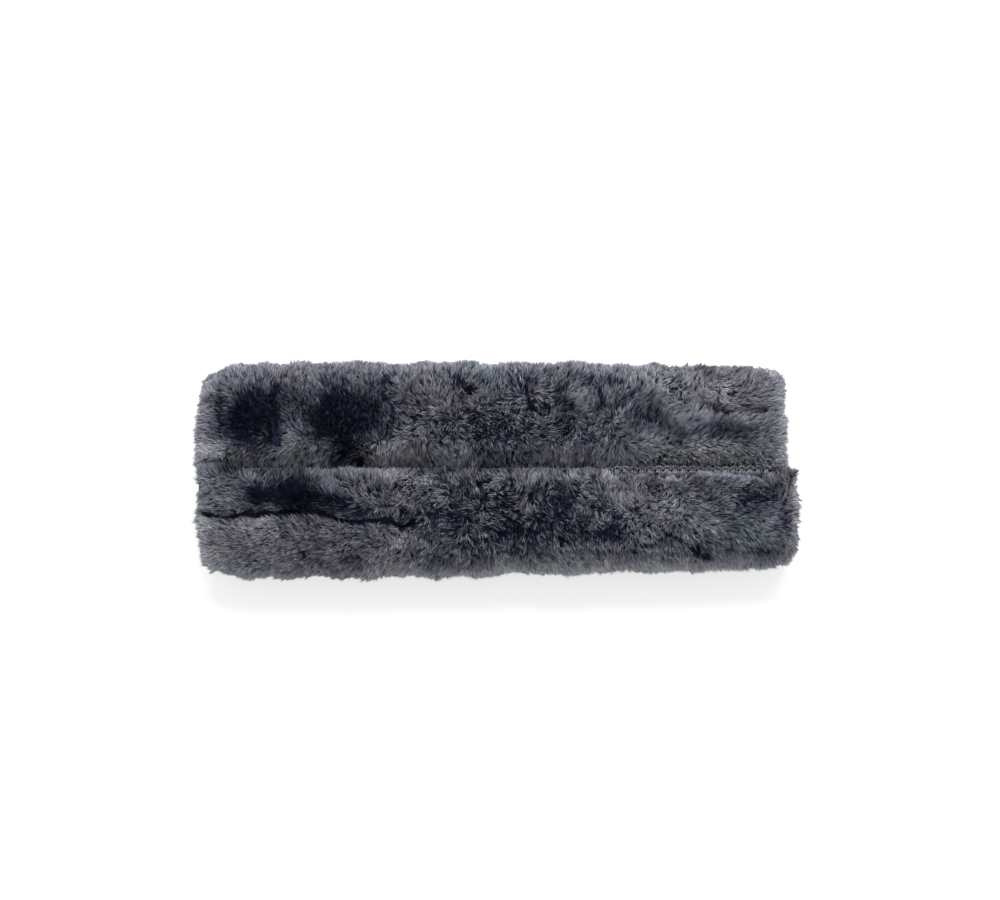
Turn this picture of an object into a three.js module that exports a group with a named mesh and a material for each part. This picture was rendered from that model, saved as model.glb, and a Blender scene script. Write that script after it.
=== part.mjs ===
// A sheepskin seat belt pad: one rectangle of shearling rolled wool side out into a flat sleeve,
// with its two long edges butted over the belt and held by a hook tape and a loop tape inside.
// Millimetres, +Z up. X runs along the belt and -Y is the side of the pad that shows more of its edge.
// The origin is in the middle of the patch of wool that the pad lies on.

import * as THREE from 'three';
import { LoftGeometry } from 'three/addons/geometries/LoftGeometry.js';

// The belt passage and the hide round it
const passageFlat = 55; // flat width of the passage between its two folds
const passageHeight = 9;
const hideLength = 236;
const hideThickness = 1.3;
const endSkew = 5; // how far the near flap's right end stands past the far flap's
const cornerCut = 3; // how far the left end is pushed in at the near fold
const seamY = -1; // where the two long edges meet, from the pad's middle
const seamGap = 1.2; // between the cut edges, room for the near edge's overlock
const nearMargin = 3.2; // strip along the near edge where the wool is clipped off for the overlock
const farMargin = 0.5; // the far edge's wool stands almost at its cut

// The wool, measured from the hide's grain side
const woolUnder = 11; // pressed flat under the pad
const woolSide = 13;
const sideThinning = 3.2; // what the near side's wool loses towards the right end
const woolTop = 12.9;
const woolPressedIn = 1; // what the wool under the pad would stand further if nothing pressed it
const woolStubble = 0.15; // left on the seam margins
const nearBank = 5.5; // width over which the wool rises from the near margin
const farBank = 8;
const endSplay = 6.6; // how far the wool spreads past the hide's cut ends
const endDroop = 0.2; // share of its height that the wool loses at the ends
const endReach = 13; // and how far in that starts
const lumpHeight = 0.9;

// The closure on the skin side
const tapeLength = 232;
const hookWidth = 20;
const hookSetback = 4; // from the near edge
const loopStrip = 7; // width of the loop tape that is sewn to the far flap
const loopReach = 23.5; // how far its tongue reaches under the near flap
const loopTail = 7; // how far the loop tape sticks out of the left end of the hide
const tapeWeb = 0.6; // woven ground of both tapes
const tapePile = 0.6; // hooks or loops on it
const selvedge = 2.4; // plain border of both tapes
const clearance = 0.3;

// Threads
const overlockPitch = 3.5;
const overlockRadius = 0.24;
const stitchPitch = 4.4;
const stitchRadius = 0.18;

// Fineness of the surface
const woolColumns = 48;
const foldSteps = 11;
const flatStep = 5.4;

// Sizes that follow
const foldRadius = passageHeight / 2;
const foldArc = Math.PI * foldRadius;
const flatHalf = passageFlat / 2;
const passageFloor = woolUnder + hideThickness;
const passageRoof = passageFloor + passageHeight;
const nearEdgeY = seamY - seamGap / 2;
const farEdgeY = seamY + seamGap / 2;
const nearEdge = -(flatHalf + foldArc + flatHalf + nearEdgeY);
const farEdge = flatHalf + foldArc + flatHalf - farEdgeY;

const { sin, cos, exp, abs, max, min, PI, round } = Math;
const clamp01 = (value) => min(1, max(0, value));

// Places a point of the flat hide on the rolled one. across is measured on the skin side from the
// middle of the underside, towards the far fold when positive, and out is the height over that side.
function wrap(along, across, out) {

	const side = across < 0 ? - 1 : 1;
	const run = abs(across);
	const turn = min(max(run - flatHalf, 0), foldArc) / foldRadius;
	const past = max(run - flatHalf - foldArc, 0);
	const flat = min(run, flatHalf) - past;
	const y = side * (flat + (foldRadius + out) * sin(turn));
	const z = passageFloor + foldRadius - (foldRadius + out) * cos(turn);
	return new THREE.Vector3(along, y, z);

}

// Where the hide is cut at its right and left ends
function rightEnd(across) {

	const middle = (nearEdge + farEdge) / 2;
	return hideLength / 2 - endSkew * (across - middle) / (farEdge - nearEdge);

}

function leftEnd(across) {

	const fromFold = (across + flatHalf + foldArc / 2) / 9;
	return - hideLength / 2 + cornerCut * exp(- fromFold * fromFold);

}

// Locks of wool lie in soft lumps: waves of different length that run askew to each other
const lumpWaves = [
	{ alongPeriod: 43, acrossPeriod: 61, phase: 0.4, share: 0.75 },
	{ alongPeriod: - 29, acrossPeriod: 34, phase: 2.1, share: 0.65 },
	{ alongPeriod: 21, acrossPeriod: - 47, phase: 4.0, share: 0.55 },
	{ alongPeriod: 16.5, acrossPeriod: 19, phase: 1.2, share: 0.45 },
	{ alongPeriod: - 13.5, acrossPeriod: 27, phase: 5.3, share: 0.4 },
];

function lumps(along, across) {

	const drift = 3 * sin(across / 9 + along / 31);
	return lumpWaves.reduce((sum, wave) => sum + wave.share
		* sin(2 * PI * ((along + drift) / wave.alongPeriod + across / wave.acrossPeriod) + wave.phase), 0);

}

// Valleys that handling has left in the wool, as lines on the flat hide
const creases = [
	{ depth: 3.6, width: 3.6, line: [[- 122, - 46], [- 110, - 44], [- 77, - 46], [- 57, - 42], [- 33, - 42.4]] },
	{ depth: 3.0, width: 3.4, line: [[- 116, 45], [- 115, 58]] },
	{ depth: 2.6, width: 3.4, line: [[- 90, 46], [- 91, 63]] },
	{ depth: 2.2, width: 3.2, line: [[89, 47], [100, 50], [112, 48]] },
	{ depth: 2.2, width: 4.0, line: [[- 15, 44], [- 10, 54]] },
	{ depth: 2.0, width: 4.0, line: [[62, - 58], [74, - 50], [84, - 44]] },
	{ depth: 2.0, width: 4.5, line: [[22, 44], [30, 60]] },
	{ depth: 1.8, width: 4.0, line: [[- 70, - 58], [- 50, - 55]] },
	{ depth: 1.8, width: 4.5, line: [[10, - 50], [34, - 53]] },
];

function distanceToLine(along, across, line) {

	let nearest = Infinity;
	for (let i = 1; i < line.length; i ++) {

		const [startAlong, startAcross] = line[ i - 1 ];
		const runAlong = line[ i ][ 0 ] - startAlong;
		const runAcross = line[ i ][ 1 ] - startAcross;
		const share = clamp01(((along - startAlong) * runAlong + (across - startAcross) * runAcross)
			/ (runAlong ** 2 + runAcross ** 2));
		nearest = min(nearest, Math.hypot(along - startAlong - share * runAlong,
			across - startAcross - share * runAcross));

	}

	return nearest;

}

function creaseDepth(along, across) {

	return creases.reduce((depth, crease) => {

		const distance = distanceToLine(along, across, crease.line) / crease.width;
		return max(depth, crease.depth * exp(- distance * distance));

	}, 0);

}

// Height of the wool over the grain side at a point of the hide
function woolHeight(along, across) {

	const turn = clamp01((abs(across) - flatHalf) / foldArc);
	const bow = 4 * turn * (1 - turn);
	const thinning = across < 0 ? sideThinning * clamp01(along / hideLength + 0.5) ** 2 : 0;
	const level = (woolUnder + woolPressedIn) * (1 - turn) + woolTop * turn
		+ bow * (woolSide - thinning - (woolUnder + woolPressedIn + woolTop) / 2);

	const fromEnd = min(along - leftEnd(across), rightEnd(across) - along);
	const droop = 1 - endDroop * (1 - clamp01(fromEnd / endReach)) ** 2;

	const liveliness = clamp01(turn * 3) * (1 - 0.45 * bow);
	const lively = liveliness * (lumpHeight * lumps(along, across) - creaseDepth(along, across));

	const onNearBank = clamp01((across - nearEdge - nearMargin) / nearBank);
	const onFarBank = clamp01((farEdge - across - farMargin) / farBank);
	const rise = sin(PI / 2 * min(onNearBank, onFarBank));
	return woolStubble + rise * max(level * droop + lively - woolStubble, woolStubble);

}

// The wool at a cut end swells out in a half round bank from the hide's edge to the wool's top
function endBank(across, end, outward) {

	const height = woolHeight(end, across);
	const splay = endSplay * min(1, height / (0.6 * woolTop)) * (1 + 0.08 * sin(across / 4.1 + outward));
	return [- 60, - 30, 0, 30, 60].map((degrees) => {

		const angle = degrees * PI / 180;
		return [end + outward * splay * cos(angle), hideThickness + height * (1 + sin(angle)) / 2];

	});

}

// One turn round the sheepskin at a constant place across it: back along the skin side, up one
// end, along the top of the wool and down the other end
function sheepskinRing(across) {

	const left = leftEnd(across);
	const right = rightEnd(across);
	const skinColumns = 4;
	const ring = [];
	for (let i = 0; i <= skinColumns; i ++) ring.push([left + (right - left) * i / skinColumns, 0]);
	ring.push([right, hideThickness], ...endBank(across, right, 1));
	for (let i = 0; i <= woolColumns; i ++) {

		const along = right + (left - right) * i / woolColumns;
		ring.push([along, hideThickness + woolHeight(along, across)]);

	}

	ring.push(...endBank(across, left, - 1).reverse(), [left, hideThickness]);

	return ring.map(([along, out]) => {

		const point = wrap(along, across, out);
		point.z = max(point.z, 0);
		return point;

	});

}

// Places across the hide where it is sectioned: close together in the folds and beside the seam
function sectionPlaces() {

	const upBank = [0, 0.15, 0.35, 0.65, 1];
	const nearPlaces = [nearEdge, ...upBank.map((share) => nearEdge + nearMargin + share * nearBank)];
	const farPlaces = [...upBank.map((share) => farEdge - farMargin - share * farBank).reverse(), farEdge];
	const flatPlaces = (from, to) => {

		const steps = max(1, round(abs(to - from) / flatStep));
		return Array.from({ length: steps }, (_, i) => from + (to - from) * (i + 1) / steps);

	};

	const foldPlaces = (from, to) => Array.from({ length: foldSteps }, (_, i) => from + (to - from) * (i + 1) / foldSteps);
	const foldEnd = flatHalf + foldArc;

	return [
		...nearPlaces,
		...flatPlaces(nearPlaces.at(- 1), - foldEnd),
		...foldPlaces(- foldEnd, - flatHalf),
		...flatPlaces(- flatHalf, flatHalf),
		...foldPlaces(flatHalf, foldEnd),
		...flatPlaces(foldEnd, farPlaces[ 0 ]),
		...farPlaces.slice(1),
	];

}

function sheepskin() {

	const rings = sectionPlaces().map(sheepskinRing);
	return new LoftGeometry(rings, { closed: true, capStart: true, capEnd: true });

}

// A tape is a section in Y and Z carried along X
function tapeAlongX(section, from, to) {

	const shape = new THREE.Shape(section.map(([y, z]) => new THREE.Vector2(y, z)));
	const tape = new THREE.ExtrudeGeometry(shape, { depth: to - from, bevelEnabled: false });
	const axes = new THREE.Matrix4().makeBasis(
		new THREE.Vector3(0, 1, 0), new THREE.Vector3(0, 0, 1), new THREE.Vector3(1, 0, 0));
	return tape.applyMatrix4(axes).translate(from, 0, 0);

}

const tapeRoof = passageRoof - clearance;
const hookFarY = nearEdgeY - hookSetback;
const hookNearY = hookFarY - hookWidth;
const hookFace = tapeRoof - tapeWeb - tapePile;
const tongueRoof = hookFace - clearance;

// Hook tape under the near flap, its hooks facing down between two plain borders
function hookTape() {

	const web = tapeRoof - tapeWeb;
	const bevel = tapePile / 2;
	return tapeAlongX([
		[hookNearY, tapeRoof],
		[hookNearY, web],
		[hookNearY + selvedge, web],
		[hookNearY + selvedge + bevel, hookFace],
		[hookFarY - selvedge - bevel, hookFace],
		[hookFarY - selvedge, web],
		[hookFarY, web],
		[hookFarY, tapeRoof],
	], - tapeLength / 2, tapeLength / 2);

}

// Loop tape: a strip sewn under the far flap, then an easy bend down past the seam to a tongue
// that lies under the hooks with its loops facing up
function loopTape() {

	const bendSteps = 5;
	const bendFrom = farEdgeY + 0.5;
	const bendTo = hookFarY + selvedge / 2;
	const roofDrop = tapeRoof - tongueRoof;
	const tongueEnd = nearEdgeY - loopReach;
	const pileFrom = hookFarY - selvedge;
	const pileTo = tongueEnd + selvedge;
	const bend = Array.from({ length: bendSteps + 1 }, (_, i) => {

		const share = i / bendSteps;
		const level = (1 - cos(PI * share)) / 2;
		return [bendFrom + (bendTo - bendFrom) * share, tapeRoof - level * (roofDrop + tapePile)];

	});

	const webRoof = tongueRoof - tapePile;
	const top = [
		[farEdgeY + loopStrip, tapeRoof],
		...bend,
		[pileFrom, webRoof],
		[pileFrom - tapePile / 2, tongueRoof],
		[pileTo + tapePile / 2, tongueRoof],
		[pileTo, webRoof],
		[tongueEnd, webRoof],
	];

	const bottom = [
		[farEdgeY + loopStrip, tapeRoof - tapeWeb],
		...bend.map(([y, z]) => [y, z - tapeWeb]),
		[tongueEnd, webRoof - tapeWeb],
	];

	return tapeAlongX([...top, ...bottom.reverse()], - hideLength / 2 - loopTail, tapeLength / 2);

}

// A thread is a fine three-sided tube along a line of points
function thread(points, radius) {

	const sides = 3;
	const across = new THREE.Vector3(0, 0, 1);
	const sections = points.map((point, i) => {

		const ahead = points[ min(i + 1, points.length - 1) ];
		const behind = points[ max(i - 1, 0) ];
		const tangent = ahead.clone().sub(behind).normalize();
		across.addScaledVector(tangent, - across.dot(tangent)).normalize();
		const beside = tangent.clone().cross(across);
		return Array.from({ length: sides }, (_, k) => {

			const angle = 2 * PI * k / sides;
			return point.clone().addScaledVector(across, radius * cos(angle)).addScaledVector(beside, radius * sin(angle));

		});

	});

	return new LoftGeometry(sections, { closed: true, capStart: true, capEnd: true });

}

// The overlock runs in and out over the near edge: a leg on the clipped margin, down over the
// corner beside the cut and back up to the next leg
function nearEdgeOverlock() {

	const from = leftEnd(nearEdge) + overlockPitch;
	const stitches = Math.floor((rightEnd(nearEdge) - overlockPitch - from) / overlockPitch);
	const overHide = hideThickness + woolStubble + clearance + overlockRadius;
	const besideEdge = nearEdge - clearance - overlockRadius;
	const legEnd = nearEdge + nearMargin - clearance - overlockRadius;
	const points = [];
	for (let i = 0; i < stitches; i ++) {

		const along = from + i * overlockPitch;
		points.push(
			wrap(along, legEnd, overHide),
			wrap(along + 0.3 * overlockPitch, besideEdge, overHide),
			wrap(along + 0.5 * overlockPitch, besideEdge, hideThickness / 2),
			wrap(along + 0.7 * overlockPitch, besideEdge, overHide),
		);

	}

	return thread(points, overlockRadius);

}

// A row of lockstitches lies under a tape's border and dips at each needle hole
function stitchRow(y, roof) {

	const stitches = Math.floor((tapeLength - 2 * stitchPitch) / stitchPitch);
	const points = [];
	for (let i = 0; i <= stitches; i ++) {

		const along = (i - stitches / 2) * stitchPitch;
		const level = roof - clearance - 1.6 * stitchRadius;
		points.push(
			new THREE.Vector3(along - 0.2 * stitchPitch, y, level + 0.5 * stitchRadius),
			new THREE.Vector3(along + 0.3 * stitchPitch, y, level - 0.2 * stitchRadius),
		);

	}

	return thread(points, stitchRadius);

}

const wool = new THREE.MeshStandardMaterial({ color: 0x555a66, roughness: 0.95, metalness: 0 });
const hookNylon = new THREE.MeshStandardMaterial({ color: 0x17181b, roughness: 0.55, metalness: 0 });
const loopNylon = new THREE.MeshStandardMaterial({ color: 0x1d1e22, roughness: 0.85, metalness: 0 });
const paleThread = new THREE.MeshStandardMaterial({ color: 0x6d7079, roughness: 0.6, metalness: 0 });
const darkThread = new THREE.MeshStandardMaterial({ color: 0x1a1b1f, roughness: 0.6, metalness: 0 });

const border = selvedge / 2;
const borderRoof = tapeRoof - tapeWeb;

const pieces = [
	['sheepskin', sheepskin(), wool],
	['hook_tape', hookTape(), hookNylon],
	['loop_tape', loopTape(), loopNylon],
	['near_edge_overlock', nearEdgeOverlock(), paleThread],
	['hook_tape_inner_stitching', stitchRow(hookNearY + border, borderRoof), darkThread],
	['hook_tape_edge_stitching', stitchRow(hookFarY - border, borderRoof), darkThread],
	['loop_tape_stitching', stitchRow(farEdgeY + loopStrip - border, borderRoof), darkThread],
];

const pad = new THREE.Group();
for (const [name, geometry, material] of pieces) {

	const mesh = new THREE.Mesh(geometry, material);
	mesh.name = name;
	pad.add(mesh);

}

export default pad;
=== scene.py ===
"""Dresses the sheepskin seat belt pad: its hide, its wool in locks of fine tapered strands, its
closure tapes and its threads, on a pale floor, seen from above as it lies with the seam on top."""

import math

import bpy
import numpy as np
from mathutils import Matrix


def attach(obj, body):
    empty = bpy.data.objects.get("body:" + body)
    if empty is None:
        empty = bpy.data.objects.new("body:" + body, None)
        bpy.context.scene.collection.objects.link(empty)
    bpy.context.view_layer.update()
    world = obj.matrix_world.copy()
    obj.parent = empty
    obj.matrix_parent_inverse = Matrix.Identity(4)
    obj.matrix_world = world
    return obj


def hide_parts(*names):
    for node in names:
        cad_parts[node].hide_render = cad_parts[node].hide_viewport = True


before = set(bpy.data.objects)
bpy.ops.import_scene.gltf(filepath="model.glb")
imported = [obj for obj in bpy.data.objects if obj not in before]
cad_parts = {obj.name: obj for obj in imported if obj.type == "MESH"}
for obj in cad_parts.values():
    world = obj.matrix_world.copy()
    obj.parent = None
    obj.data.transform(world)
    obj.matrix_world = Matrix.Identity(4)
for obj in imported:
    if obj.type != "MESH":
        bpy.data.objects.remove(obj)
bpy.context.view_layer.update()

bl_info = {
    "name": "Sheepskin Belt Pad",
    "version": (1, 0, 0),
    "blender": (4, 5, 0),
    "location": "3D View > Sidebar > Belt Pad",
    "description": "Builds a sheepskin seat belt pad with its wool, hide, tapes and threads",
    "category": "Object",
}

MM = 0.001  # sizes below are in millimetres unless they say otherwise, and meshes are in metres

# The hide and the passage that it is rolled round
PASSAGE_FLAT = 55.0
PASSAGE_HEIGHT = 9.0
HIDE_LENGTH = 236.0
HIDE_THICKNESS = 1.3
END_SKEW = 5.0
CORNER_CUT = 3.0
CORNER_CUT_REACH = 9.0
SEAM_Y = -1.0
SEAM_GAP = 1.2
NEAR_MARGIN = 3.2
FAR_MARGIN = 0.5

# The wool
WOOL_UNDER = 12.0
WOOL_SIDE = 13.0
SIDE_THINNING = 3.2
WOOL_TOP = 12.9
STUBBLE = 0.15
NEAR_BANK = 5.5
FAR_BANK = 8.0
END_SPLAY = 6.6
END_DROOP = 0.2
END_REACH = 13.0
LUMP_HEIGHT = 0.9

# The tapes and threads
CLEARANCE = 0.3
TAPE_LENGTH = 232.0
HOOK_WIDTH = 20.0
HOOK_SETBACK = 4.0
LOOP_STRIP = 7.0
LOOP_REACH = 23.5
LOOP_TAIL = 7.0
TAPE_WEB = 0.6
TAPE_PILE = 0.6
SELVEDGE = 2.4
OVERLOCK_PITCH = 3.5
OVERLOCK_RADIUS = 0.24
STITCH_PITCH = 4.4
STITCH_RADIUS = 0.18

# Sizes that follow
FOLD_RADIUS = PASSAGE_HEIGHT / 2
FOLD_ARC = math.pi * FOLD_RADIUS
FLAT_HALF = PASSAGE_FLAT / 2
PASSAGE_FLOOR = WOOL_UNDER - 1.0 + HIDE_THICKNESS
PASSAGE_ROOF = PASSAGE_FLOOR + PASSAGE_HEIGHT
NEAR_EDGE_Y = SEAM_Y - SEAM_GAP / 2
FAR_EDGE_Y = SEAM_Y + SEAM_GAP / 2
NEAR_EDGE = -(2 * FLAT_HALF + FOLD_ARC + NEAR_EDGE_Y)
FAR_EDGE = 2 * FLAT_HALF + FOLD_ARC - FAR_EDGE_Y

TAPE_ROOF = PASSAGE_ROOF - CLEARANCE
HOOK_FAR_Y = NEAR_EDGE_Y - HOOK_SETBACK
HOOK_NEAR_Y = HOOK_FAR_Y - HOOK_WIDTH
HOOK_FACE = TAPE_ROOF - TAPE_WEB - TAPE_PILE
TONGUE_ROOF = HOOK_FACE - CLEARANCE
TONGUE_END = NEAR_EDGE_Y - LOOP_REACH

# Places round the wool are measured in mid wool, where the folds are much longer than on the hide
MID_WOOL = 12.0
FOLD_ROUND = math.pi * (FOLD_RADIUS + MID_WOOL)
NEAR_ROUND = NEAR_EDGE + FOLD_ARC - FOLD_ROUND
FAR_ROUND = FAR_EDGE - FOLD_ARC + FOLD_ROUND
BANK_ROUND = 18.0  # from the top of the wool down over an end to the hide
BANK_SWEEP = math.radians(165)
RUN_HALF = HIDE_LENGTH / 2 + BANK_ROUND

# The view: the pad's middle, and how far right of and above it the picture's middle is
PAD_MIDDLE = (0.5, 0.0, 18.3)
VIEW_OFFSET = (1.7, 8.3)
LENS = 85
SENSOR_WIDTH = 36

# The floor's half side, its grey, and the light of its own that the camera sees
FLOOR_HALF = 3000.0
FLOOR_GREY = 0.5
FLOOR_LIFT = 0.67

# The large lamp's size and place in metres, and its turn
KEY_SIZE = (0.9, 0.5)
KEY_PLACE = (0.10, 0.55, 0.85)
KEY_TURN = (math.radians(-33), 0.0, math.radians(-5))


def wrap(along, across, out):
    """Rolls the flat hide up: straight under the pad, a half circle about the fold's centre at each
    side with radius fold radius + out, and straight back over the top."""
    side = np.where(across < 0, -1.0, 1.0)
    run = np.abs(across)
    turn = np.clip(run - FLAT_HALF, 0, FOLD_ARC) / FOLD_RADIUS
    past = np.maximum(run - FLAT_HALF - FOLD_ARC, 0)
    flat = np.minimum(run, FLAT_HALF) - past
    y = side * (flat + (FOLD_RADIUS + out) * np.sin(turn))
    z = PASSAGE_FLOOR + FOLD_RADIUS - (FOLD_RADIUS + out) * np.cos(turn)
    return np.stack(np.broadcast_arrays(along, y, z), -1)


def skin_place(around):
    """The place across the hide of a place round the wool: the same on the flats, and in the folds
    shortened as the hide's arc is to the wool's."""
    ends = FLAT_HALF, FLAT_HALF + FOLD_ROUND, FLAT_HALF + FOLD_ROUND + PASSAGE_FLAT
    skin = FLAT_HALF, FLAT_HALF + FOLD_ARC, FLAT_HALF + FOLD_ARC + PASSAGE_FLAT
    return np.sign(around) * np.interp(np.abs(around), (0, *ends), (0, *skin))


def right_end(across):
    """Where the hide's right end is cut: a line a little out of square."""
    return HIDE_LENGTH / 2 - END_SKEW * (across - (NEAR_EDGE + FAR_EDGE) / 2) / (FAR_EDGE - NEAR_EDGE)


def left_end(across):
    """Where the hide's left end is cut: square, and pushed in as a bell curve at the near fold."""
    from_fold = (across + FLAT_HALF + FOLD_ARC / 2) / CORNER_CUT_REACH
    return -HIDE_LENGTH / 2 + CORNER_CUT * np.exp(-from_fold ** 2)


def between_ends(share, across):
    """The place along the hide at a share of the way from its left end to its right."""
    left = left_end(across)
    return left + (right_end(across) - left) * share


def hide_share(run):
    """The share of the hide's length at a place along the pad, held at its ends beyond them."""
    return np.clip(run / HIDE_LENGTH + 0.5, 0, 1)


# Long waves in the wool: period along, period across, phase and share
LUMP_WAVES = (
    (43, 61, 0.4, 0.75),
    (-29, 34, 2.1, 0.65),
    (21, -47, 4.0, 0.55),
    (16.5, 19, 1.2, 0.45),
    (-13.5, 27, 5.3, 0.4),
)

# Valleys that handling has left, as depth, width and a line of places along and across the hide
CREASES = (
    (3.6, 3.6, ((-122, -46), (-110, -44), (-77, -46), (-57, -42), (-33, -42.4))),
    (3.0, 3.4, ((-116, 45), (-115, 58))),
    (2.6, 3.4, ((-90, 46), (-91, 63))),
    (2.2, 3.2, ((89, 47), (100, 50), (112, 48))),
    (2.2, 4.0, ((-15, 44), (-10, 54))),
    (2.0, 4.0, ((62, -58), (74, -50), (84, -44))),
    (2.0, 4.5, ((22, 44), (30, 60))),
    (1.8, 4.0, ((-70, -58), (-50, -55))),
    (1.8, 4.5, ((10, -50), (34, -53))),
)

# Places along the seam and how bare the wool leaves the overlock there
OVERLOCK_BARED = ((45, 0), (50, 0.75), (62, 0.7), (67, 0.9), (80, 0.9), (86, 0.6), (98, 0.6), (103, 0.95),
                  (113, 0.95), (118, 0))

# Left and right of these places the wool closes over the seam
SEAM_CLOSED_LEFT = -111.0
SEAM_CLOSED_RIGHT = 119.5

# The combed wool's margin beside the seam, what it gains where the overlock is bare, and how ragged
# it is there
COMBED_MARGIN = 0.3
BARE_MARGIN = 2.7
RAGGED = 0.5

# The combed wool's bank, what it gains where bare, and what it loses where closed, left and right
COMBED_BANK = 4.0
BARE_BANK = 1.0
LEFT_CLOSING = 3.0
RIGHT_CLOSING = 1.8

# Where the combed wool stands higher or lower at the far fold: place, reach along, reach round, share
SWELLS = (
    (-128, 56, 14, 14, -0.25),
    (-100, 56, 12, 12, -0.06),
    (49, 56, 10, 12, 0.07),
    (114, 56, 8, 12, -0.05),
)

# How the combed ends splay more or less: end, place round the wool, reach round and millimetres
END_CHANGES = (
    (-1, 90, 8, 2.4),
    (-1, -95.6, 1.6, -2.2),
    (-1, 63, 9, -3.0),
    (1, -55, 6, -2.2),
)


def bell(run, around, place_run, place_round, reach_run, reach_round):
    """A bell curve about a place, 1 at its middle."""
    return np.exp(-((run - place_run) / reach_run) ** 2 - ((around - place_round) / reach_round) ** 2)


def bells(run, around, rows):
    """The sum of bell curves, each row being its place, reach along, reach round and height."""
    return sum(height * bell(run, around, *place) for *place, height in rows)


def ridge(distance, reach):
    """A bell curve of a distance."""
    return np.exp(-(distance / reach) ** 2)


def bare_share(run):
    """How bare the overlock is at a place along the seam, straight between the given places."""
    places, shares = zip(*OVERLOCK_BARED)
    return np.interp(run, places, shares)


def step_up(value, reach):
    """A smooth step from 0 to 1, halfway up where the value is 0."""
    return 1 / (1 + np.exp(-value / reach))


def closed_left(run):
    """How far the wool closes over the seam at its left end."""
    return step_up(SEAM_CLOSED_LEFT - run, 1.5)


def closed_right(run):
    """How far the near flap's wool closes over the seam at its right end."""
    return step_up(run - SEAM_CLOSED_RIGHT, 0.8)


def lumps(along, across):
    """A sum of sine waves that run askew to each other, the places drifting on a slower wave."""
    drift = 3 * np.sin(across / 9 + along / 31)
    return sum(share * np.sin(2 * np.pi * ((along + drift) / run + across / over) + phase)
               for run, over, phase, share in LUMP_WAVES)


def distance_to_line(x, y, line):
    """The least distance to the straight stretches between the line's points."""
    nearest = np.full(np.shape(x), np.inf)
    for (x0, y0), (x1, y1) in zip(line, line[1:]):
        dx, dy = x1 - x0, y1 - y0
        share = np.clip(((x - x0) * dx + (y - y0) * dy) / (dx * dx + dy * dy), 0, 1)
        nearest = np.minimum(nearest, np.hypot(x - x0 - share * dx, y - y0 - share * dy))
    return nearest


def crease_depth(along, across):
    """The deepest of the creases, each a bell curve of the distance to its line."""
    depths = [depth * ridge(distance_to_line(along, across, line), width) for depth, width, line in CREASES]
    return np.max(depths, axis=0)


def wool_height(along, across, combed=False):
    """Wool over the hide: a level that swells at the folds, less at the ends, with lumps and
    creases on top and sides, rising on a quarter sine wave from each seam margin. Combed wool leans
    over the near margin, less and raggedly where it leaves the overlock bare, and its banks are
    steeper where it closes over the seam."""
    turn = np.clip((np.abs(across) - FLAT_HALF) / FOLD_ARC, 0, 1)
    bow = 4 * turn * (1 - turn)
    thinning = SIDE_THINNING * hide_share(along) ** 2 * (across < 0)
    level = (WOOL_UNDER * (1 - turn) + WOOL_TOP * turn
             + bow * (WOOL_SIDE - thinning - (WOOL_UNDER + WOOL_TOP) / 2))
    from_end = np.minimum(along - left_end(across), right_end(across) - along)
    droop = 1 - END_DROOP * (1 - np.clip(from_end / END_REACH, 0, 1)) ** 2
    lively = np.clip(turn * 3, 0, 1) * (1 - 0.45 * bow)
    rough = lively * (LUMP_HEIGHT * lumps(along, across) - crease_depth(along, across))
    margin, bank, far_bank = NEAR_MARGIN, NEAR_BANK, FAR_BANK
    if combed:
        bare, closed = bare_share(along), closed_left(along)
        ragged = RAGGED * bare * np.sin(along / 1.3 + 2 * np.sin(along / 3.1))
        margin = COMBED_MARGIN + BARE_MARGIN * bare + ragged
        bank = COMBED_BANK + BARE_BANK * bare - LEFT_CLOSING * closed - RIGHT_CLOSING * closed_right(along)
        far_bank = FAR_BANK * (1 - 0.9 * closed)
    near = np.clip((across - NEAR_EDGE - margin) / bank, 0, 1)
    far = np.clip((FAR_EDGE - across - FAR_MARGIN) / far_bank, 0, 1)
    rise = np.sin(np.pi / 2 * np.minimum(near, far))
    return STUBBLE + rise * np.maximum(level * droop + rough - STUBBLE, STUBBLE)


def wool_surface(run, around, combed=False):
    """The wool's surface at a place along the hide and round the wool. Past an end the place goes
    on down a half ellipse from the wool's top to the hide's edge. Combed wool also has the swells
    at the far fold and the changes of the ends' splay, as bell curves."""
    across = skin_place(around)
    along = between_ends(hide_share(run), across)
    height = wool_height(along, across, combed)
    beyond = np.clip((np.abs(run) - HIDE_LENGTH / 2) / BANK_ROUND, 0, 1)
    angle = np.pi / 2 - beyond * BANK_SWEEP
    outward = np.sign(run)
    full = 1.0 if combed else np.minimum(1, height / (0.6 * WOOL_TOP))
    splay = END_SPLAY * full * (1 + 0.08 * np.sin(across / 4.1 + outward))
    if combed:
        height = height * (1 + bells(run, around, SWELLS))
        splay = splay + sum((end * run > 0) * change * ridge(around - place_round, reach)
                            for end, place_round, reach, change in END_CHANGES)
    along = along + outward * splay * np.cos(angle) * (beyond > 0)
    out = HIDE_THICKNESS + height * (1 + np.sin(angle)) / 2
    place = wrap(along, across, out)
    place[..., 2] = np.maximum(place[..., 2], 0)
    return place


def unit(vectors):
    """Vectors of length one."""
    return vectors / np.maximum(np.linalg.norm(vectors, axis=-1, keepdims=True), 1e-9)


def wool_frame(run, around, combed=False):
    """The surface point, the directions along and round the wool there, and the outward normal,
    from differences over a small step."""
    step = 0.6
    place = wool_surface(run, around, combed)
    by_run = unit(wool_surface(run + step, around, combed) - wool_surface(run - step, around, combed))
    by_round = unit(wool_surface(run, around + step, combed) - wool_surface(run, around - step, combed))
    return place, by_run, by_round, unit(np.cross(by_round, by_run))


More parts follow.
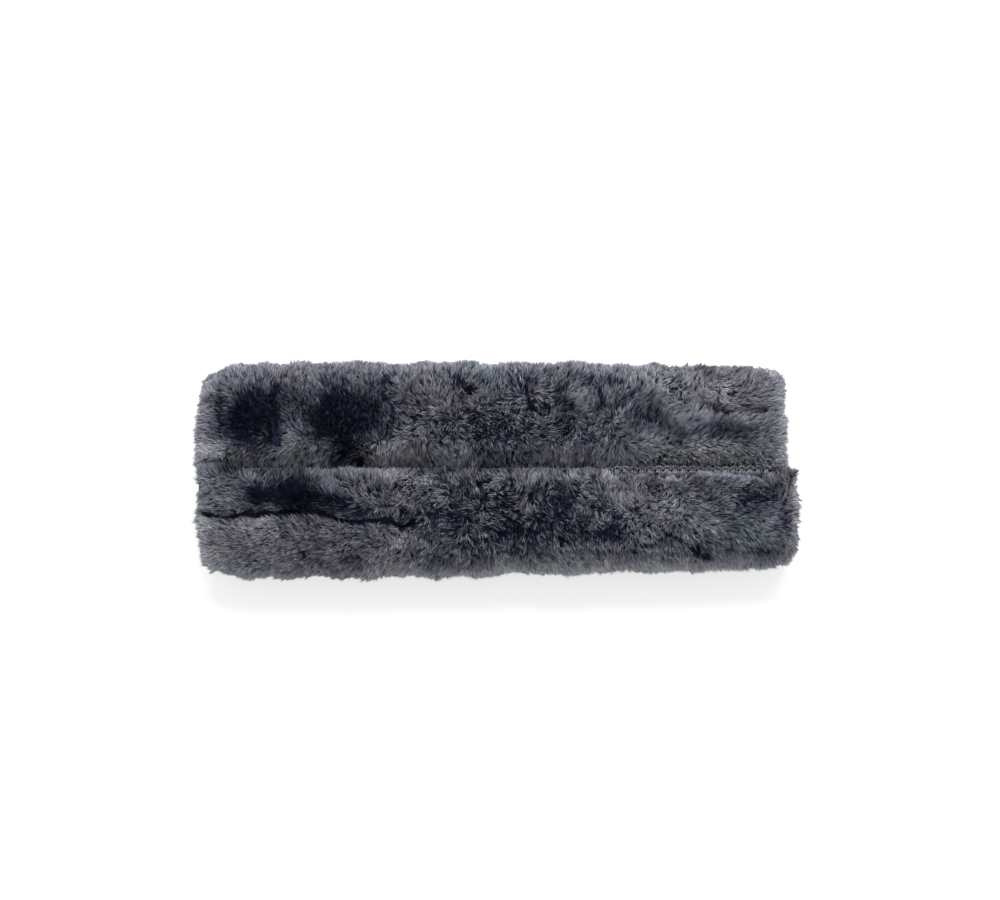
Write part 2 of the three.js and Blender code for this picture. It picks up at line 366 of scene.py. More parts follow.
def ripple(x, y, seed):
    """Smooth noise from -1 to 1: random values at whole places, eased between them."""
    size = 64
    table = np.random.default_rng(seed).uniform(-1, 1, (size, size))
    column, row = np.floor(x).astype(int), np.floor(y).astype(int)
    fx, fy = x - column, y - row
    fx, fy = fx * fx * (3 - 2 * fx), fy * fy * (3 - 2 * fy)
    low, high = row % size, (row + 1) % size
    left = table[column % size, low] * (1 - fy) + table[column % size, high] * fy
    right = table[(column + 1) % size, low] * (1 - fy) + table[(column + 1) % size, high] * fy
    return left * (1 - fx) + right * fx


# Mesh helpers

def mesh_piece(name, points, faces, material, uv=None, smooth=True):
    """A mesh object from points in millimetres and arrays of faces with three or four corners each."""
    mesh = bpy.data.meshes.new(name)
    mesh.vertices.add(len(points))
    mesh.vertices.foreach_set("co", (np.asarray(points, np.float32) * MM).ravel())
    corners = np.concatenate([np.asarray(block).ravel() for block in faces])
    sizes = np.concatenate([np.full(len(block), np.shape(block)[1]) for block in faces])
    mesh.loops.add(len(corners))
    mesh.loops.foreach_set("vertex_index", corners.astype(np.int32))
    mesh.polygons.add(len(sizes))
    mesh.polygons.foreach_set("loop_start", (np.cumsum(sizes) - sizes).astype(np.int32))
    mesh.polygons.foreach_set("use_smooth", np.full(len(sizes), smooth))
    if uv is not None:
        layer = mesh.uv_layers.new(name="OFBake")
        layer.data.foreach_set("uv", np.asarray(uv, np.float32)[corners].ravel())
    mesh.update(calc_edges=True)
    mesh.validate()
    mesh.materials.append(material)
    piece = bpy.data.objects.new(name, mesh)
    bpy.context.scene.collection.objects.link(piece)
    return piece


def grid_faces(rows, columns, closed_columns=False, first=0):
    """Quads between neighbouring points of a grid whose points are numbered row by row."""
    start = np.arange(rows - 1)[:, None] * columns
    column = np.arange(columns if closed_columns else columns - 1)[None, :]
    following = (column + 1) % columns
    ahead = start + columns
    corners = start + column, ahead + column, ahead + following, start + following
    return np.stack(corners, -1).reshape(-1, 4) + first


ASKEW = (0.31, 0.11, 0.94)  # a direction that no path here follows


def tubes(paths, radius, sides=3):
    """Tubes of one radius carried along paths, given as an array of paths by points by xyz: at each
    point a ring square to the path's direction, and a cap at each end."""
    paths = np.asarray(paths, float)
    count, length, _ = paths.shape
    ahead = unit(np.diff(paths, axis=1, append=paths[:, -1:] * 2 - paths[:, -2:-1])
                 + np.diff(paths, axis=1, prepend=paths[:, :1] * 2 - paths[:, 1:2]))
    beside = unit(np.cross(ahead, ASKEW))
    over = np.cross(beside, ahead)
    angles = 2 * np.pi * np.arange(sides) / sides
    ring = np.cos(angles)[:, None] * beside[:, :, None] + np.sin(angles)[:, None] * over[:, :, None]
    points = paths[:, :, None] + radius * ring
    one = grid_faces(length, sides, closed_columns=True)
    first = (np.arange(count) * length * sides)[:, None, None]
    sleeve = (one[None] + first).reshape(-1, 4)
    cap = np.arange(sides)
    caps = np.concatenate([(cap[None] + first[:, 0]).reshape(-1, sides),
                           (cap[::-1][None] + (length - 1) * sides + first[:, 0]).reshape(-1, sides)])
    return points.reshape(-1, 3), (sleeve, caps)


def smooth_path(points, steps):
    """A curve through points, as cubic pieces whose slope at a point is that of its neighbours' chord."""
    points = np.asarray(points, float)
    padded = np.concatenate([2 * points[:1] - points[1:2], points, 2 * points[-1:] - points[-2:-1]])
    p0, p1, p2, p3 = (padded[k:len(padded) - 3 + k, None] for k in range(4))
    t = (np.arange(steps) / steps)[None, :, None]
    curve = 0.5 * (2 * p1 + (p2 - p0) * t + (2 * p0 - 5 * p1 + 4 * p2 - p3) * t ** 2
                   + (3 * p1 - p0 - 3 * p2 + p3) * t ** 3)
    return np.concatenate([curve.reshape(-1, 3), points[-1:]])


def carried_section(section, from_x, to_x, columns):
    """A closed section in Y and Z, anticlockwise seen from +X, carried along X, with its two ends."""
    section = np.asarray(section, float)
    size = len(section)
    x = np.linspace(from_x, to_x, columns)
    points = np.concatenate([np.repeat(x, size)[:, None], np.tile(section, (columns, 1))], 1)
    skin = grid_faces(columns, size, closed_columns=True)
    near = np.arange(size)[None]
    far = near + (columns - 1) * size
    return points, (skin[:, ::-1], near[:, ::-1], far)


def rounded_strip(y_from, y_to, z_from, z_to):
    """The section of a flat strip whose two edges are half round, anticlockwise seen from +X."""
    radius = (z_to - z_from) / 2
    angle = np.linspace(-np.pi / 2, np.pi / 2, 6)
    y = np.concatenate([y_to - radius + radius * np.cos(angle), y_from + radius - radius * np.cos(angle)])
    z = (z_from + z_to) / 2 + radius * np.concatenate([np.sin(angle), -np.sin(angle)])
    return list(zip(y, z))


def closed_sheet(outer, inner):
    """Two grids of points joined round their rims into one closed shell, the first one outside."""
    rows, columns = outer.shape[:2]
    n = rows * columns
    index = np.arange(n).reshape(rows, columns)
    rim = np.concatenate([index[0, :-1], index[:-1, -1], index[-1, :0:-1], index[:0:-1, 0]])
    following = np.roll(rim, -1)
    walls = np.stack([rim, rim + n, following + n, following], -1)
    faces = grid_faces(rows, columns)[:, ::-1], grid_faces(rows, columns, first=n), walls
    return np.concatenate([outer.reshape(-1, 3), inner.reshape(-1, 3)]), faces


def joined_piece(name, material, *parts):
    """One piece from several sets of points and faces."""
    first, points, faces = 0, [], []
    for part_points, part_faces in parts:
        points.append(part_points)
        faces.extend(np.asarray(block) + first for block in part_faces)
        first += len(part_points)
    return mesh_piece(name, np.concatenate(points), faces, material)


def settle(piece, slot, *nodes):
    """Puts a piece on the pad's one body and hides the solids that it stands for. The finish (slot) it is
    given is not used.
    """
    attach(piece, "root")
    if nodes:
        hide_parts(*nodes)


# Materials

# The wool's map: where its first number starts, how far it runs from dark to pale, and the step from
# the violet run to the teal one
MAP_START = 0.02
MAP_SPAN = 0.43
MAP_TEAL = 0.53
VIOLET_TINT = (1.05, 1.0, 1.05)
TEAL_TINT = (0.92, 1.05, 1.07)
TONE_PLACES = (0.0, 0.28, 0.55, 0.8, 1.0)
# Painted shade: the strand's colour darkened towards its root, where the fibres shade each other, as places
# up the strand and greys
ROOT_PAINTED_SHADE = ((0.0, (0.05,) * 3), (0.5, (0.32,) * 3), (1.0, (1.0,) * 3))


def plain_material(name, roughness, sheen=0.0):
    """A material with its finish on the shader's own sockets, and its shader and node tree."""
    material = bpy.data.materials.new(name)
    material.use_nodes = True
    tree = material.node_tree
    shader = tree.nodes["Principled BSDF"]
    shader.inputs["Roughness"].default_value = roughness
    shader.inputs["Sheen Weight"].default_value = sheen
    shader.inputs["Sheen Roughness"].default_value = 0.5
    shader.inputs["Specular IOR Level"].default_value = 0.25
    return material, tree, shader


def ramp_node(tree, stops):
    """A colour ramp with the given places and colours."""
    node = tree.nodes.new("ShaderNodeValToRGB")
    ramp = node.color_ramp
    while len(ramp.elements) < len(stops):
        ramp.elements.new(0.5)
    for element, (place, colour) in zip(ramp.elements, stops):
        element.position = place
        element.color = (*colour, 1.0)
    return node


def wool_material(wool):
    """Dyed wool. The first number of its map runs twice from near black to pale, first in violet grey
    and then in teal grey; the second paints shade on the strand towards its root, where fibres shade each
    other."""
    material, tree, shader = plain_material("dyed_wool", 0.75, wool.sheen)
    shader.inputs["Specular IOR Level"].default_value = 0.06
    uv = tree.nodes.new("ShaderNodeUVMap")
    uv.uv_map = "OFBake"
    split = tree.nodes.new("ShaderNodeSeparateXYZ")
    tree.links.new(uv.outputs["UV"], split.inputs["Vector"])
    colours = [np.array(colour) for colour in (
        wool.deep_shade_colour, wool.dark_colour, wool.wool_colour, wool.light_colour, wool.tip_colour)]
    tones = ramp_node(tree, [(first + MAP_SPAN * place, tuple(colour * tint))
                             for first, tint in ((MAP_START, VIOLET_TINT), (MAP_START + MAP_TEAL, TEAL_TINT))
                             for place, colour in zip(TONE_PLACES, colours)])
    tree.links.new(split.outputs["X"], tones.inputs["Fac"])
    # Painted shade towards each strand's root
    depth = ramp_node(tree, ROOT_PAINTED_SHADE)
    tree.links.new(split.outputs["Y"], depth.inputs["Fac"])
    shade = tree.nodes.new("ShaderNodeMix")
    shade.data_type = "RGBA"
    shade.blend_type = "MULTIPLY"
    shade.inputs["Factor"].default_value = 1.0
    tree.links.new(tones.outputs["Color"], shade.inputs["A"])
    tree.links.new(depth.outputs["Color"], shade.inputs["B"])
    tree.links.new(shade.outputs["Result"], shader.inputs["Base Color"])
    return material


def math_output(tree, operation, first, second):
    """The output of a sum of two values, each the output of another node or a number."""
    node = tree.nodes.new("ShaderNodeMath")
    node.operation = operation
    for socket, value in zip(node.inputs, (first, second)):
        if isinstance(value, float):
            socket.default_value = value
        else:
            tree.links.new(value, socket)
    return node.outputs[0]


def floor_material():
    """A grey floor that keeps shadows, with light of its own that only the camera, gloss and glass see,
    so that it looks nearly white."""
    material, tree, shader = plain_material("pale_floor", 0.9)
    shader.inputs["Base Color"].default_value = (FLOOR_GREY, FLOOR_GREY, FLOOR_GREY, 1)
    path = tree.nodes.new("ShaderNodeLightPath")
    seen = math_output(tree, "MAXIMUM", path.outputs["Is Camera Ray"], path.outputs["Is Glossy Ray"])
    seen = math_output(tree, "MAXIMUM", seen, path.outputs["Is Transmission Ray"])
    glow = tree.nodes.new("ShaderNodeEmission")
    tree.links.new(math_output(tree, "MULTIPLY", seen, FLOOR_LIFT), glow.inputs["Strength"])
    both = tree.nodes.new("ShaderNodeAddShader")
    tree.links.new(shader.outputs[0], both.inputs[0])
    tree.links.new(glow.outputs[0], both.inputs[1])
    tree.links.new(both.outputs[0], tree.nodes["Material Output"].inputs["Surface"])
    return material


def speckled_material(name, dark, light, scale, roughness, bump=0.0, sheen=0.0):
    """A fine grain: noise on Object coordinates between two colours, with the same noise as bump."""
    material, tree, shader = plain_material(name, roughness, sheen)
    coordinates = tree.nodes.new("ShaderNodeTexCoord")
    noise = tree.nodes.new("ShaderNodeTexNoise")
    noise.inputs["Scale"].default_value = scale
    noise.inputs["Detail"].default_value = 6.0
    tree.links.new(coordinates.outputs["Object"], noise.inputs["Vector"])
    colours = ramp_node(tree, ((0.35, dark), (0.65, light)))
    tree.links.new(noise.outputs["Fac"], colours.inputs["Fac"])
    tree.links.new(colours.outputs["Color"], shader.inputs["Base Color"])
    if bump:
        relief = tree.nodes.new("ShaderNodeBump")
        relief.inputs["Strength"].default_value = 0.6
        relief.inputs["Distance"].default_value = bump * MM
        tree.links.new(noise.outputs["Fac"], relief.inputs["Height"])
        tree.links.new(relief.outputs["Normal"], shader.inputs["Normal"])
    return material


# The wool's nap: where it is combed, curled, dark or pale. Places are in millimetres along the pad
# and round the wool, seen from above with the farther side up.

# Place, direction of the tips in degrees from right towards the viewer, reach, lean in degrees
COMBINGS = (
    (-120, 94, 180, 11, 60),
    (-120, 74, 210, 9, 55),
    (-106, 69, 265, 11, 50),
    (-64, 68, 270, 17, 45),
    (-22, 69, 270, 17, 45),
    (2, 71, 270, 11, 50),
    (28, 68, 285, 17, 45),
    (53, 71, 280, 13, 45),
    (-100, 93, 200, 13, 18),
    (-61, 90, 250, 15, 14),
    (-79, 103, 135, 9, 40),
    (-24, 103, 90, 13, 50),
    (2, 98, 70, 13, 25),
    (24, 81, 50, 11, 50),
    (94, 93, 320, 17, 40),
    (107, 104, 325, 13, 45),
    (120, 81, 345, 9, 55),
    (120, 99, 0, 9, 55),
    (44, 100, 120, 11, 40),
    (70, 102, 300, 11, 40),
    (-108, -87, 190, 11, 64),
    (-88, -96, 315, 8, 50),
    (-62, -103, 270, 13, 45),
    (-109, -69, 198, 17, 68),
    (-72, -70, 195, 17, 66),
    (-35, -69, 150, 15, 50),
    (-11, -96, 250, 11, 45),
    (18, -102, 270, 17, 45),
    (48, -92, 270, 6, 55),
    (28, -88, 250, 6, 20),
    (48, -75, 90, 9, 22),
    (0, -77, 60, 11, 30),
    (90, -94, 330, 11, 40),
    (85, -78, 35, 11, 45),
    (102, -76, 20, 13, 45),
    (118, -79, 0, 8, 60),
    (-92, -58, 160, 16, 50),
    (-48, -57, 120, 16, 40),
    (-8, -58, 80, 16, 40),
    (26, -58, 58, 17, 45),
    (66, -58, 62, 17, 40),
    (104, -60, 75, 14, 40),
    (-126, -59, 150, 9, 55),
)

# Place, reach, and 1 for a curl that runs clockwise
CURLS = (
    (66, -94, 13, 1),
    (76, 76, 6, 1),
    (22, 89, 6, -1),
    (-11, 79, 5, 1),
    (-26, 100, 5, -1),
    (92, 77, 7, 1),
    (1, -96, 6, -1),
    (-45, -71, 9, 1),
    (40, 89, 4, 1),
    (-9, -79, 6, -1),
)

# Place, reach along, reach round and change of tone. The patches are partly the wool's own tone and partly
# painted light and shade of the nap's lie: pale where strands lie sideways, dark where they stand end on
PATCHES = (
    (-102, 89, 10.9, 9.5, -0.5),
    (-106, 99, 8.4, 7.0, -0.2),
    (-92, 90, 1.7, 9.2, -0.25),
    (-64, 89.5, 14, 10, -0.62),
    (-61, 102, 5.0, 4.2, -0.25),
    (-81, 101, 7.6, 6.7, 0.08),
    (-4, 91, 9.2, 8.3, -0.15),
    (6, 99, 14.3, 9.0, -0.2),
    (64, 89, 7.6, 6.2, -0.13),
    (93, 94, 8.4, 4.6, -0.12),
    (-12, 77, 2.5, 2.1, -0.4),
    (32, 84, 2.5, 1.8, -0.35),
    (44, 84, 2.9, 2.9, -0.2),
    (20, 82, 15.1, 13.0, -0.06),
    (72, 76, 12.6, 5.0, 0.18),
    (95, 74, 7.6, 4.0, 0.2),
    (104, 82, 19.3, 9, 0.12),
    (112, 93, 8, 6, -0.08),
    (-88, 72, 2.5, 1.5, 0.2),
    (-119, 104, 7.6, 4.2, 0.06),
    (-110, -88, 10.1, 4.2, 0.1),
    (-98, -90, 10.1, 4.2, -0.35),
    (-84, -90, 9.2, 5.4, -0.6),
    (-69, -88, 9.2, 3.8, -0.35),
    (-56, -83, 12.6, 3.8, -0.18),
    (-64, -101, 14.7, 4.7, 0.2),
    (-44, -97.5, 22, 5.5, 0.34),
    (-28, -83, 12.6, 5.0, -0.22),
    (-11, -90, 9.2, 7.0, -0.2),
    (0, -82, 10.1, 10.0, -0.16),
    (8, -76, 8.4, 5.8, -0.25),
    (24, -88, 6.7, 9.0, -0.36),
    (28, -79, 8.4, 5.8, -0.15),
    (36, -76, 8.4, 4.2, -0.12),
    (48, -75, 9.2, 3.1, -0.28),
    (22, -98, 13, 5.5, 0.3),
    (45, -100, 10.0, 5.0, 0.2),
    (50, -91, 4.2, 7.0, 0.15),
    (84, -102, 26, 6, 0.12),
    (63, -89, 12.6, 6.7, 0.12),
    (100, -88, 5.0, 3.1, -0.25),
    (112, -91, 6.7, 3.3, -0.28),
    (118, -80, 2.5, 7.1, -0.25),
    (-103, -70, 25.2, 7.5, 0.12),
    (82, -78, 12.6, 5.8, 0.05),
    (112, -76, 6.3, 5.8, 0.1),
    (84, -67, 4.2, 3.3, -0.25),
    (95, -68, 3.4, 2.1, -0.25),
    (108, -67, 3.8, 2.1, -0.25),
    (-58, -65, 2.1, 1.7, -0.3),
    (80, 82, 40, 10, 0.06),
    (8, -96, 24, 3.4, 0.05),
    (-96, -97, 24, 3, -0.08),
    (-118, 102, 11, 3.4, 0.2),
    (-44, -93.5, 14, 4, -0.2),
    (-18, -77.5, 9, 5, -0.17),
    (65, -84, 8, 4.5, 0.12),
    (48, 72.5, 8, 5, -0.14),
    (32, 81, 8, 4.5, 0.12),
    (-68, 103, 9, 3.5, -0.12),
    (-26, 98, 16, 6, -0.09),
    (65, 100, 9, 6, 0.1),
    (98, 102, 9, 4, 0.1),
    (104, -93.5, 16, 4, -0.1),
    (-51, -68.5, 9, 5, 0.1),
    (-120, -62, 8, 9, 0.25),
    (-78, -60, 26, 8, -0.04),
    (62, -59, 46, 5, 0.17),
    (97, -101, 20, 2.6, 0.08),
    (106, -85, 13, 5, -0.11),
    (-4, -84, 24, 10, 0.05),
    (-68, -58, 11, 5, -0.17),
    (4, -59, 12, 5, 0.1),
    (62, 91, 6, 4, -0.13),
    (78, 73, 16, 6, 0.12),
    (97, 97, 7, 3, -0.13),
    (-22, -63, 8, 8, -0.15),
    (8, -67, 14, 7, -0.1),
    (-100, -78, 12, 3.5, 0.12),
    (90, 105, 30, 4, 0.14),
    (40, 100, 14, 5, -0.14),
)

# Place, reach along, reach round, and how much more of the wool is teal, or violet where below 0
HUES = (
    (64, 89, 10.9, 9.2, 0.6),
    (93, 95, 10.9, 5.8, 0.5),
    (-62, 87, 16.8, 14.0, 0.4),
    (-102, 90, 12.6, 12.5, 0.3),
    (3, 95, 15.1, 12.5, 0.5),
    (104, -77, 12.6, 7.7, 0.6),
    (-90, -93, 16.8, 5.8, 0.4),
    (-90, -70, 37.8, 7.7, -0.6),
    (-26, 82, 16.8, 12.5, -0.4),
    (104, 79, 16.8, 9.2, -0.5),
    (-64, -102, 16.8, 7.3, 0.3),
    (26, -89, 12.6, 10.0, 0.3),
    (-122, 94, 5.0, 25.0, -0.1),
    (2, 70, 10.1, 8.2, 0.3),
    (58, -88, 16.8, 7.5, -0.2),
)

# Partings, where the wool opens to its shaded depth: depth, width, change of tone, which is painted shade,
# and line
LONG_PARTING = ((-122.5, -84.2), (-110.5, -81.2), (-105.5, -82.7), (-94.0, -83.2), (-87.0, -82.7),
                (-76.0, -84.2), (-68.5, -82.2), (-65.5, -80.2), (-56.5, -79.7), (-45.5, -80.7),
                (-40.5, -77.7), (-33.5, -80.2))
PARTINGS = (
    (3.8, 1.0, -0.6, LONG_PARTING),
    (1.0, 0.7, -0.3, ((93.0, 85.8), (99.0, 87.3), (103.5, 84.3), (107.5, 83.8), (108.5, 85.3),
                      (116.0, 84.8))),
    (1.0, 0.8, -0.3, ((-45.0, 68.3), (-45.5, 77.8), (-44.5, 80.8), (-42.0, 83.3), (-41.0, 87.8),
                      (-42.0, 92.8))),
    (1.4, 1.2, -0.5, ((-16.0, 72.3), (-13.0, 75.8), (-10.0, 78.3))),
    (1.2, 0.8, -0.35, ((14.5, 72.3), (13.5, 76.3), (14.0, 80.8))),
    (1.4, 1.2, -0.4, ((-91.5, 74.3), (-92.0, 77.3), (-94.0, 81.3), (-92.5, 86.8), (-92.0, 93.3),
                      (-92.0, 99.3))),
    (1.0, 0.8, -0.3, ((-116.0, 73.8), (-115.0, 82.3), (-115.5, 92.8))),
    (1.0, 0.8, -0.25, ((89.0, 69.3), (95.0, 71.8), (100.0, 74.3), (101.0, 78.8))),
    (1.2, 0.9, -0.35, ((67.5, 72.8), (72.5, 74.3), (77.0, 76.8), (80.0, 80.3))),
    (1.0, 0.8, -0.3, ((47.0, 92.8), (50.5, 87.3), (53.0, 82.3), (58.0, 79.3), (62.5, 76.3))),
    (1.0, 0.8, -0.3, ((56.5, -71.2), (59.5, -69.7), (63.5, -70.2), (70.0, -75.2), (75.0, -72.2))),
    (1.2, 0.9, -0.35, ((41.0, 72.8), (45.5, 78.3), (47.0, 83.3), (44.5, 86.3))),
    (1.0, 0.8, -0.25, ((-28.5, -83.2), (-19.0, -85.7), (-11.0, -87.7), (-5.5, -91.2))),
    (1.0, 0.8, -0.3, ((25.0, -81.2), (30.5, -86.2), (34.0, -92.2), (35.0, -96.2))),
    (0.9, 0.8, -0.25, ((-1.5, -72.2), (7.5, -76.7), (15.5, -75.7), (22.5, -78.7))),
    (1.0, 0.9, -0.3, ((78.5, -69.2), (82.5, -66.7), (88.0, -63.2))),
)

# Where the wool is most curled, the middle of both flaps: place, reach along, reach round, share
CURLY = (
    (5, -88, 36, 16, 1.0),
    (5, 88, 36, 16, 0.8),
)

# Where it lies smooth as plush, the right of both flaps and the far flap's left, in the same way
CALM = (
    (98, 90, 38, 18, 1.0),
    (106, -77, 17, 12, 1.0),
    (-100, 88, 24, 16, 0.8),
    (-62, 88, 18, 14, 0.6),
)

# Painted rim light: pale bands where the wool's sides are seen: place round the wool, reach and change of
# tone
RIM_PAINTED_LIGHT_BANDS = (
    (-53, 8, 0.5),
    (60, 7, 0.2),
    (FAR_ROUND - 4, 4, 0.14),
)

# Changes of tone: painted rim light at the ends, and painted shade in the pits, in the crack of the seam and
# on the near flap's crest
ENDS_PAINTED_LIGHT = 0.3
PITS_PAINTED_SHADE = 0.5
CRACK_PAINTED_SHADE = 0.6
CREST_PAINTED_SHADE = 0.28

# How far the tips stand out at the folds, each at its left and at its right, how far they fall in the
# pits, and how far they stand out beside the long parting
FOLDS_RISE = 0.8
FAR_FOLD_RISE = (1.0, -0.7)
NEAR_FOLD_RISE = (-0.4, -1.2)
PITS_DEPTH = 1.2
PARTING_SHOULDER = 1.6

# Where no combing reaches, the nap's weight, and its lean and the change of that in degrees; and the
# lean over the seam
FREE_WEIGHT = 0.12
FREE_LEAN = (38, 22)
SEAM_LEAN = 66

# Spreads between locks, and between the strands of one: turn and lean in radians, rise in
# millimetres, tone, and shares of the spacing and the width. A lock bulges at its middle.
TURN_SPREAD = 0.3
LEAN_SPREAD = 0.14
LOCK_RISE_SPREAD = 0.3
LOCK_TONE_SPREAD = 0.06
STRAND_RISE_SPREAD = 0.22
WISP_RISE = 0.12
LOCK_BULGE = 0.35
TIPS_LOWERED = 0.5
STRAND_TONE_SPREAD = 0.12
CURLY_TONE_SPREAD = 0.13
LOCK_SCATTER = 0.62
WIDTH_SPREAD = 0.18

# The shape of a strand: its least and most lean in radians, and the shares of its lean behind and
# ahead of its place, of its height under the bend, and of its lean before the bend
LEAN_LIMITS = (0.06, 1.25)
LEAN_BEHIND = 0.25
LEAN_AHEAD = 0.75
BEND_HEIGHT = 0.58
BEND_LEAN = 0.3

# Strands near the seam: how far their roots are held back on the near bank, how far they stand out on
# the near and far bank, the width of the bare margin, and the gap that they keep from the long parting
ROOTS_HELD = 4.2
SEAM_RISE = (0.3, 2.2)
BARE_WIDTH = 3.1
PARTING_GAP = 0.45


def nap(run, around):
    """The heading and lean of the wool, as angles: the bell-weighted mean of the combings over a
    slow random flow, with a circular part about each curl, and the seam's own lean over itself, which
    is stronger where the wool closes over the seam."""
    x = FREE_WEIGHT * 3.0 * ripple(run / 9, around / 9, 11)
    y = FREE_WEIGHT * 3.0 * ripple(run / 9, around / 9, 12)
    weights = np.full(np.shape(run), FREE_WEIGHT)
    lean = FREE_WEIGHT * (FREE_LEAN[0] + FREE_LEAN[1] * ripple(run / 7, around / 7, 13))
    for place_run, place_round, degrees, reach, lean_there in COMBINGS:
        weight = bell(run, around, place_run, place_round, reach, reach)
        x = x + weight * math.cos(math.radians(degrees))
        y = y + weight * math.sin(math.radians(degrees))
        lean = lean + weight * lean_there
        weights = weights + weight
    for place_run, place_round, reach, sense in CURLS:
        dx, dy = run - place_run, around - place_round
        weight = 1.4 * sense * bell(run, around, place_run, place_round, reach, reach)
        from_middle = np.hypot(dx, dy) + 0.5
        x = x - weight * dy / from_middle
        y = y + weight * dx / from_middle
    lean = lean / weights
    hug = (0.3 + 0.6 * closed_left(run)) * at_seam(around)
    y = y * (1 - hug) + hug * np.sign(around)
    x = x * (1 - hug)
    lean = lean + hug * (SEAM_LEAN - lean)
    return np.arctan2(y, x), np.radians(lean)


def from_seam(around):
    """The distance round the wool to the seam."""
    return np.where(around < 0, around - NEAR_ROUND, FAR_ROUND - around)


def at_seam(around):
    """How near a place is to the seam, from 1 to 0 as a bell curve."""
    return ridge(from_seam(around), 4.0)


def at_rim(run, around):
    """How near a place is to the pad's outline: a ramp at the ends, and a lower bell curve at the folds."""
    return np.clip((np.abs(run) - 118) / 6, 0, 1) + 0.55 * ridge(np.abs(around) - 52, 8)


def curly(run, around):
    """How curled the wool is."""
    return bells(run, around, CURLY)


def calm(run, around):
    """How smooth the wool lies, at most 1."""
    return np.minimum(1, bells(run, around, CALM))


def pits(run, around):
    """Small pits between tufts, where noise of a tuft's size is high, and more of them among curls."""
    return (ripple(run / 1.5, around / 1.5, 71) - 0.4 + 0.25 * ripple(run / 12, around / 12, 72)
            + 0.36 * curly(run, around) - 0.25 * calm(run, around))


def nap_tone(run, around):
    """Tone from 0 to 1: a middle value, blotches of noise, the patches as bell curves, painted shade in
    partings and pits, painted rim light at the ends and in bands, and at the seam, where it is open,
    painted shade in the crack that is fainter on the near bank, and on the crest beside it."""
    calmed = 1 - 0.75 * calm(run, around)
    tone = 0.5 + 0.07 * ripple(run / 8, around / 8, 21) + 0.09 * calmed * ripple(run / 3.2, around / 3.2, 22)
    tone = tone + bells(run, around, PATCHES)
    # Painted shade in the partings
    tone = tone + sum(change * ridge(distance_to_line(run, around, line), 1.1 * width)
                      for _, width, change, line in PARTINGS)
    # Painted rim light at the ends
    tone = tone + ENDS_PAINTED_LIGHT * np.clip((np.abs(run) - 115) / 9, 0, 1)
    # Painted rim light in bands along the sides
    tone = tone + sum(change * ridge(around - place, reach) for place, reach, change in RIM_PAINTED_LIGHT_BANDS)
    # Painted shade in the pits
    tone = tone - PITS_PAINTED_SHADE * np.clip(4 * (pits(run, around) - 0.25), 0, 1)
    bare = bare_share(run)
    # Painted shade in the seam's open crack, fainter on the near bank, and on the near crest beside it
    crack = ridge(from_seam(around), 0.75) * np.where(around < 0, 0.3 * (1 - 0.9 * bare), 1)
    crest = ridge(around - NEAR_ROUND - 2.5, 1.8) * (1 - 0.5 * bare)
    return tone - (1 - closed_left(run)) * (CRACK_PAINTED_SHADE * crack + CREST_PAINTED_SHADE * crest)


def nap_rise(run, around):
    """How far the tips stand over the wool's surface: small tufts as noise, less where the wool is
    calm; more at the folds, where the wool opens over the bend, with a change of its own at each;
    less in pits and partings; and more beside the long parting."""
    rise = 0.5 * ripple(run / 2.3, around / 2.3, 51) + 0.4 * ripple(run / 4.7, around / 4.7, 52)
    rise = rise * (1 - 0.5 * calm(run, around))
    rise = rise + FOLDS_RISE * ridge(np.abs(around) - 56, 12)
    left, right = FAR_FOLD_RISE
    rise = rise + ridge(around - 59, 9) * (left + (right - left) * step_up(run - 45, 6))
    left, right = NEAR_FOLD_RISE
    rise = rise + ridge(around + 47, 9) * np.where(run > -10, right, left)
    rise = rise - PITS_DEPTH * np.clip(4 * (pits(run, around) - 0.2), 0, 1)
    rise = rise + PARTING_SHOULDER * ridge(distance_to_line(run, around, LONG_PARTING), 4)
    return rise - sum(depth * ridge(distance_to_line(run, around, line), width)
                      for depth, width, _, line in PARTINGS)


def teal_share(run, around):
    """The share of the strands that took the dye's teal and not its violet."""
    return 0.45 + 0.3 * ripple(run / 10, around / 10, 61) + bells(run, around, HUES)


def along_profile(low, high):
    """Places round the wool and the distance to them along its surface at the pad's middle, so that
    strands can be spread evenly over steep and flat parts."""
    around = np.linspace(low, high, 800)
    path = wool_surface(np.zeros(800), around, combed=True)
    steps = np.linalg.norm(np.diff(path, axis=0), axis=1)
    return around, np.concatenate([[0], np.cumsum(steps)])


def lock_places(low, high, count, wool, crowding, rng):
    """Where the locks stand between two places round the wool: on a shaken grid, drawn to the ends
    along a sine by the share of crowding. Gives their places along the pad and on the way round it,
    the spacing between them, and the profile and the way travelled along it."""
    profile, travelled = along_profile(low, high)
    spacing = math.sqrt(wool.strands_per_lock * 2 * RUN_HALF * travelled[-1] / count)
    columns = round(2 * RUN_HALF / spacing)
    rows = max(1, round(travelled[-1] / spacing))
    run = ((np.arange(columns)[:, None] + rng.random((columns, rows))) / columns * 2 - 1) * RUN_HALF
    way = (np.arange(rows)[None, :] + rng.random((columns, rows))) / rows * travelled[-1]
    run, way = run.ravel(), way.ravel()
    run = (1 - crowding) * run + crowding * RUN_HALF * np.sin(np.pi / 2 * run / RUN_HALF)
    return run, way, spacing, profile, travelled


def strand_lean(run, around, heading, lean, height, wool):
    """How far a strand of a given height leans over: as its angle says, but no further than the room
    beside the seam and a strand's length, and not across the long parting."""
    room = (0.6 + from_seam(around) - bare_share(run) * np.where(around < 0, 2.2, 1.2)
            + 4 * closed_left(run) + 2.5 * closed_right(run))
    reach = np.clip(height * np.tan(lean), 0, np.clip(room, 0.2, wool.strand_length / MM))
    nearest = np.min([distance_to_line(run + share * reach * np.cos(heading),
                                       around + share * reach * np.sin(heading), LONG_PARTING)
                      for share in (0.2, 0.4, 0.6, 0.75)], axis=0)
    short = np.clip(distance_to_line(run, around, LONG_PARTING) - PARTING_GAP, 0, reach)
    return np.where(nearest < PARTING_GAP, short, reach)


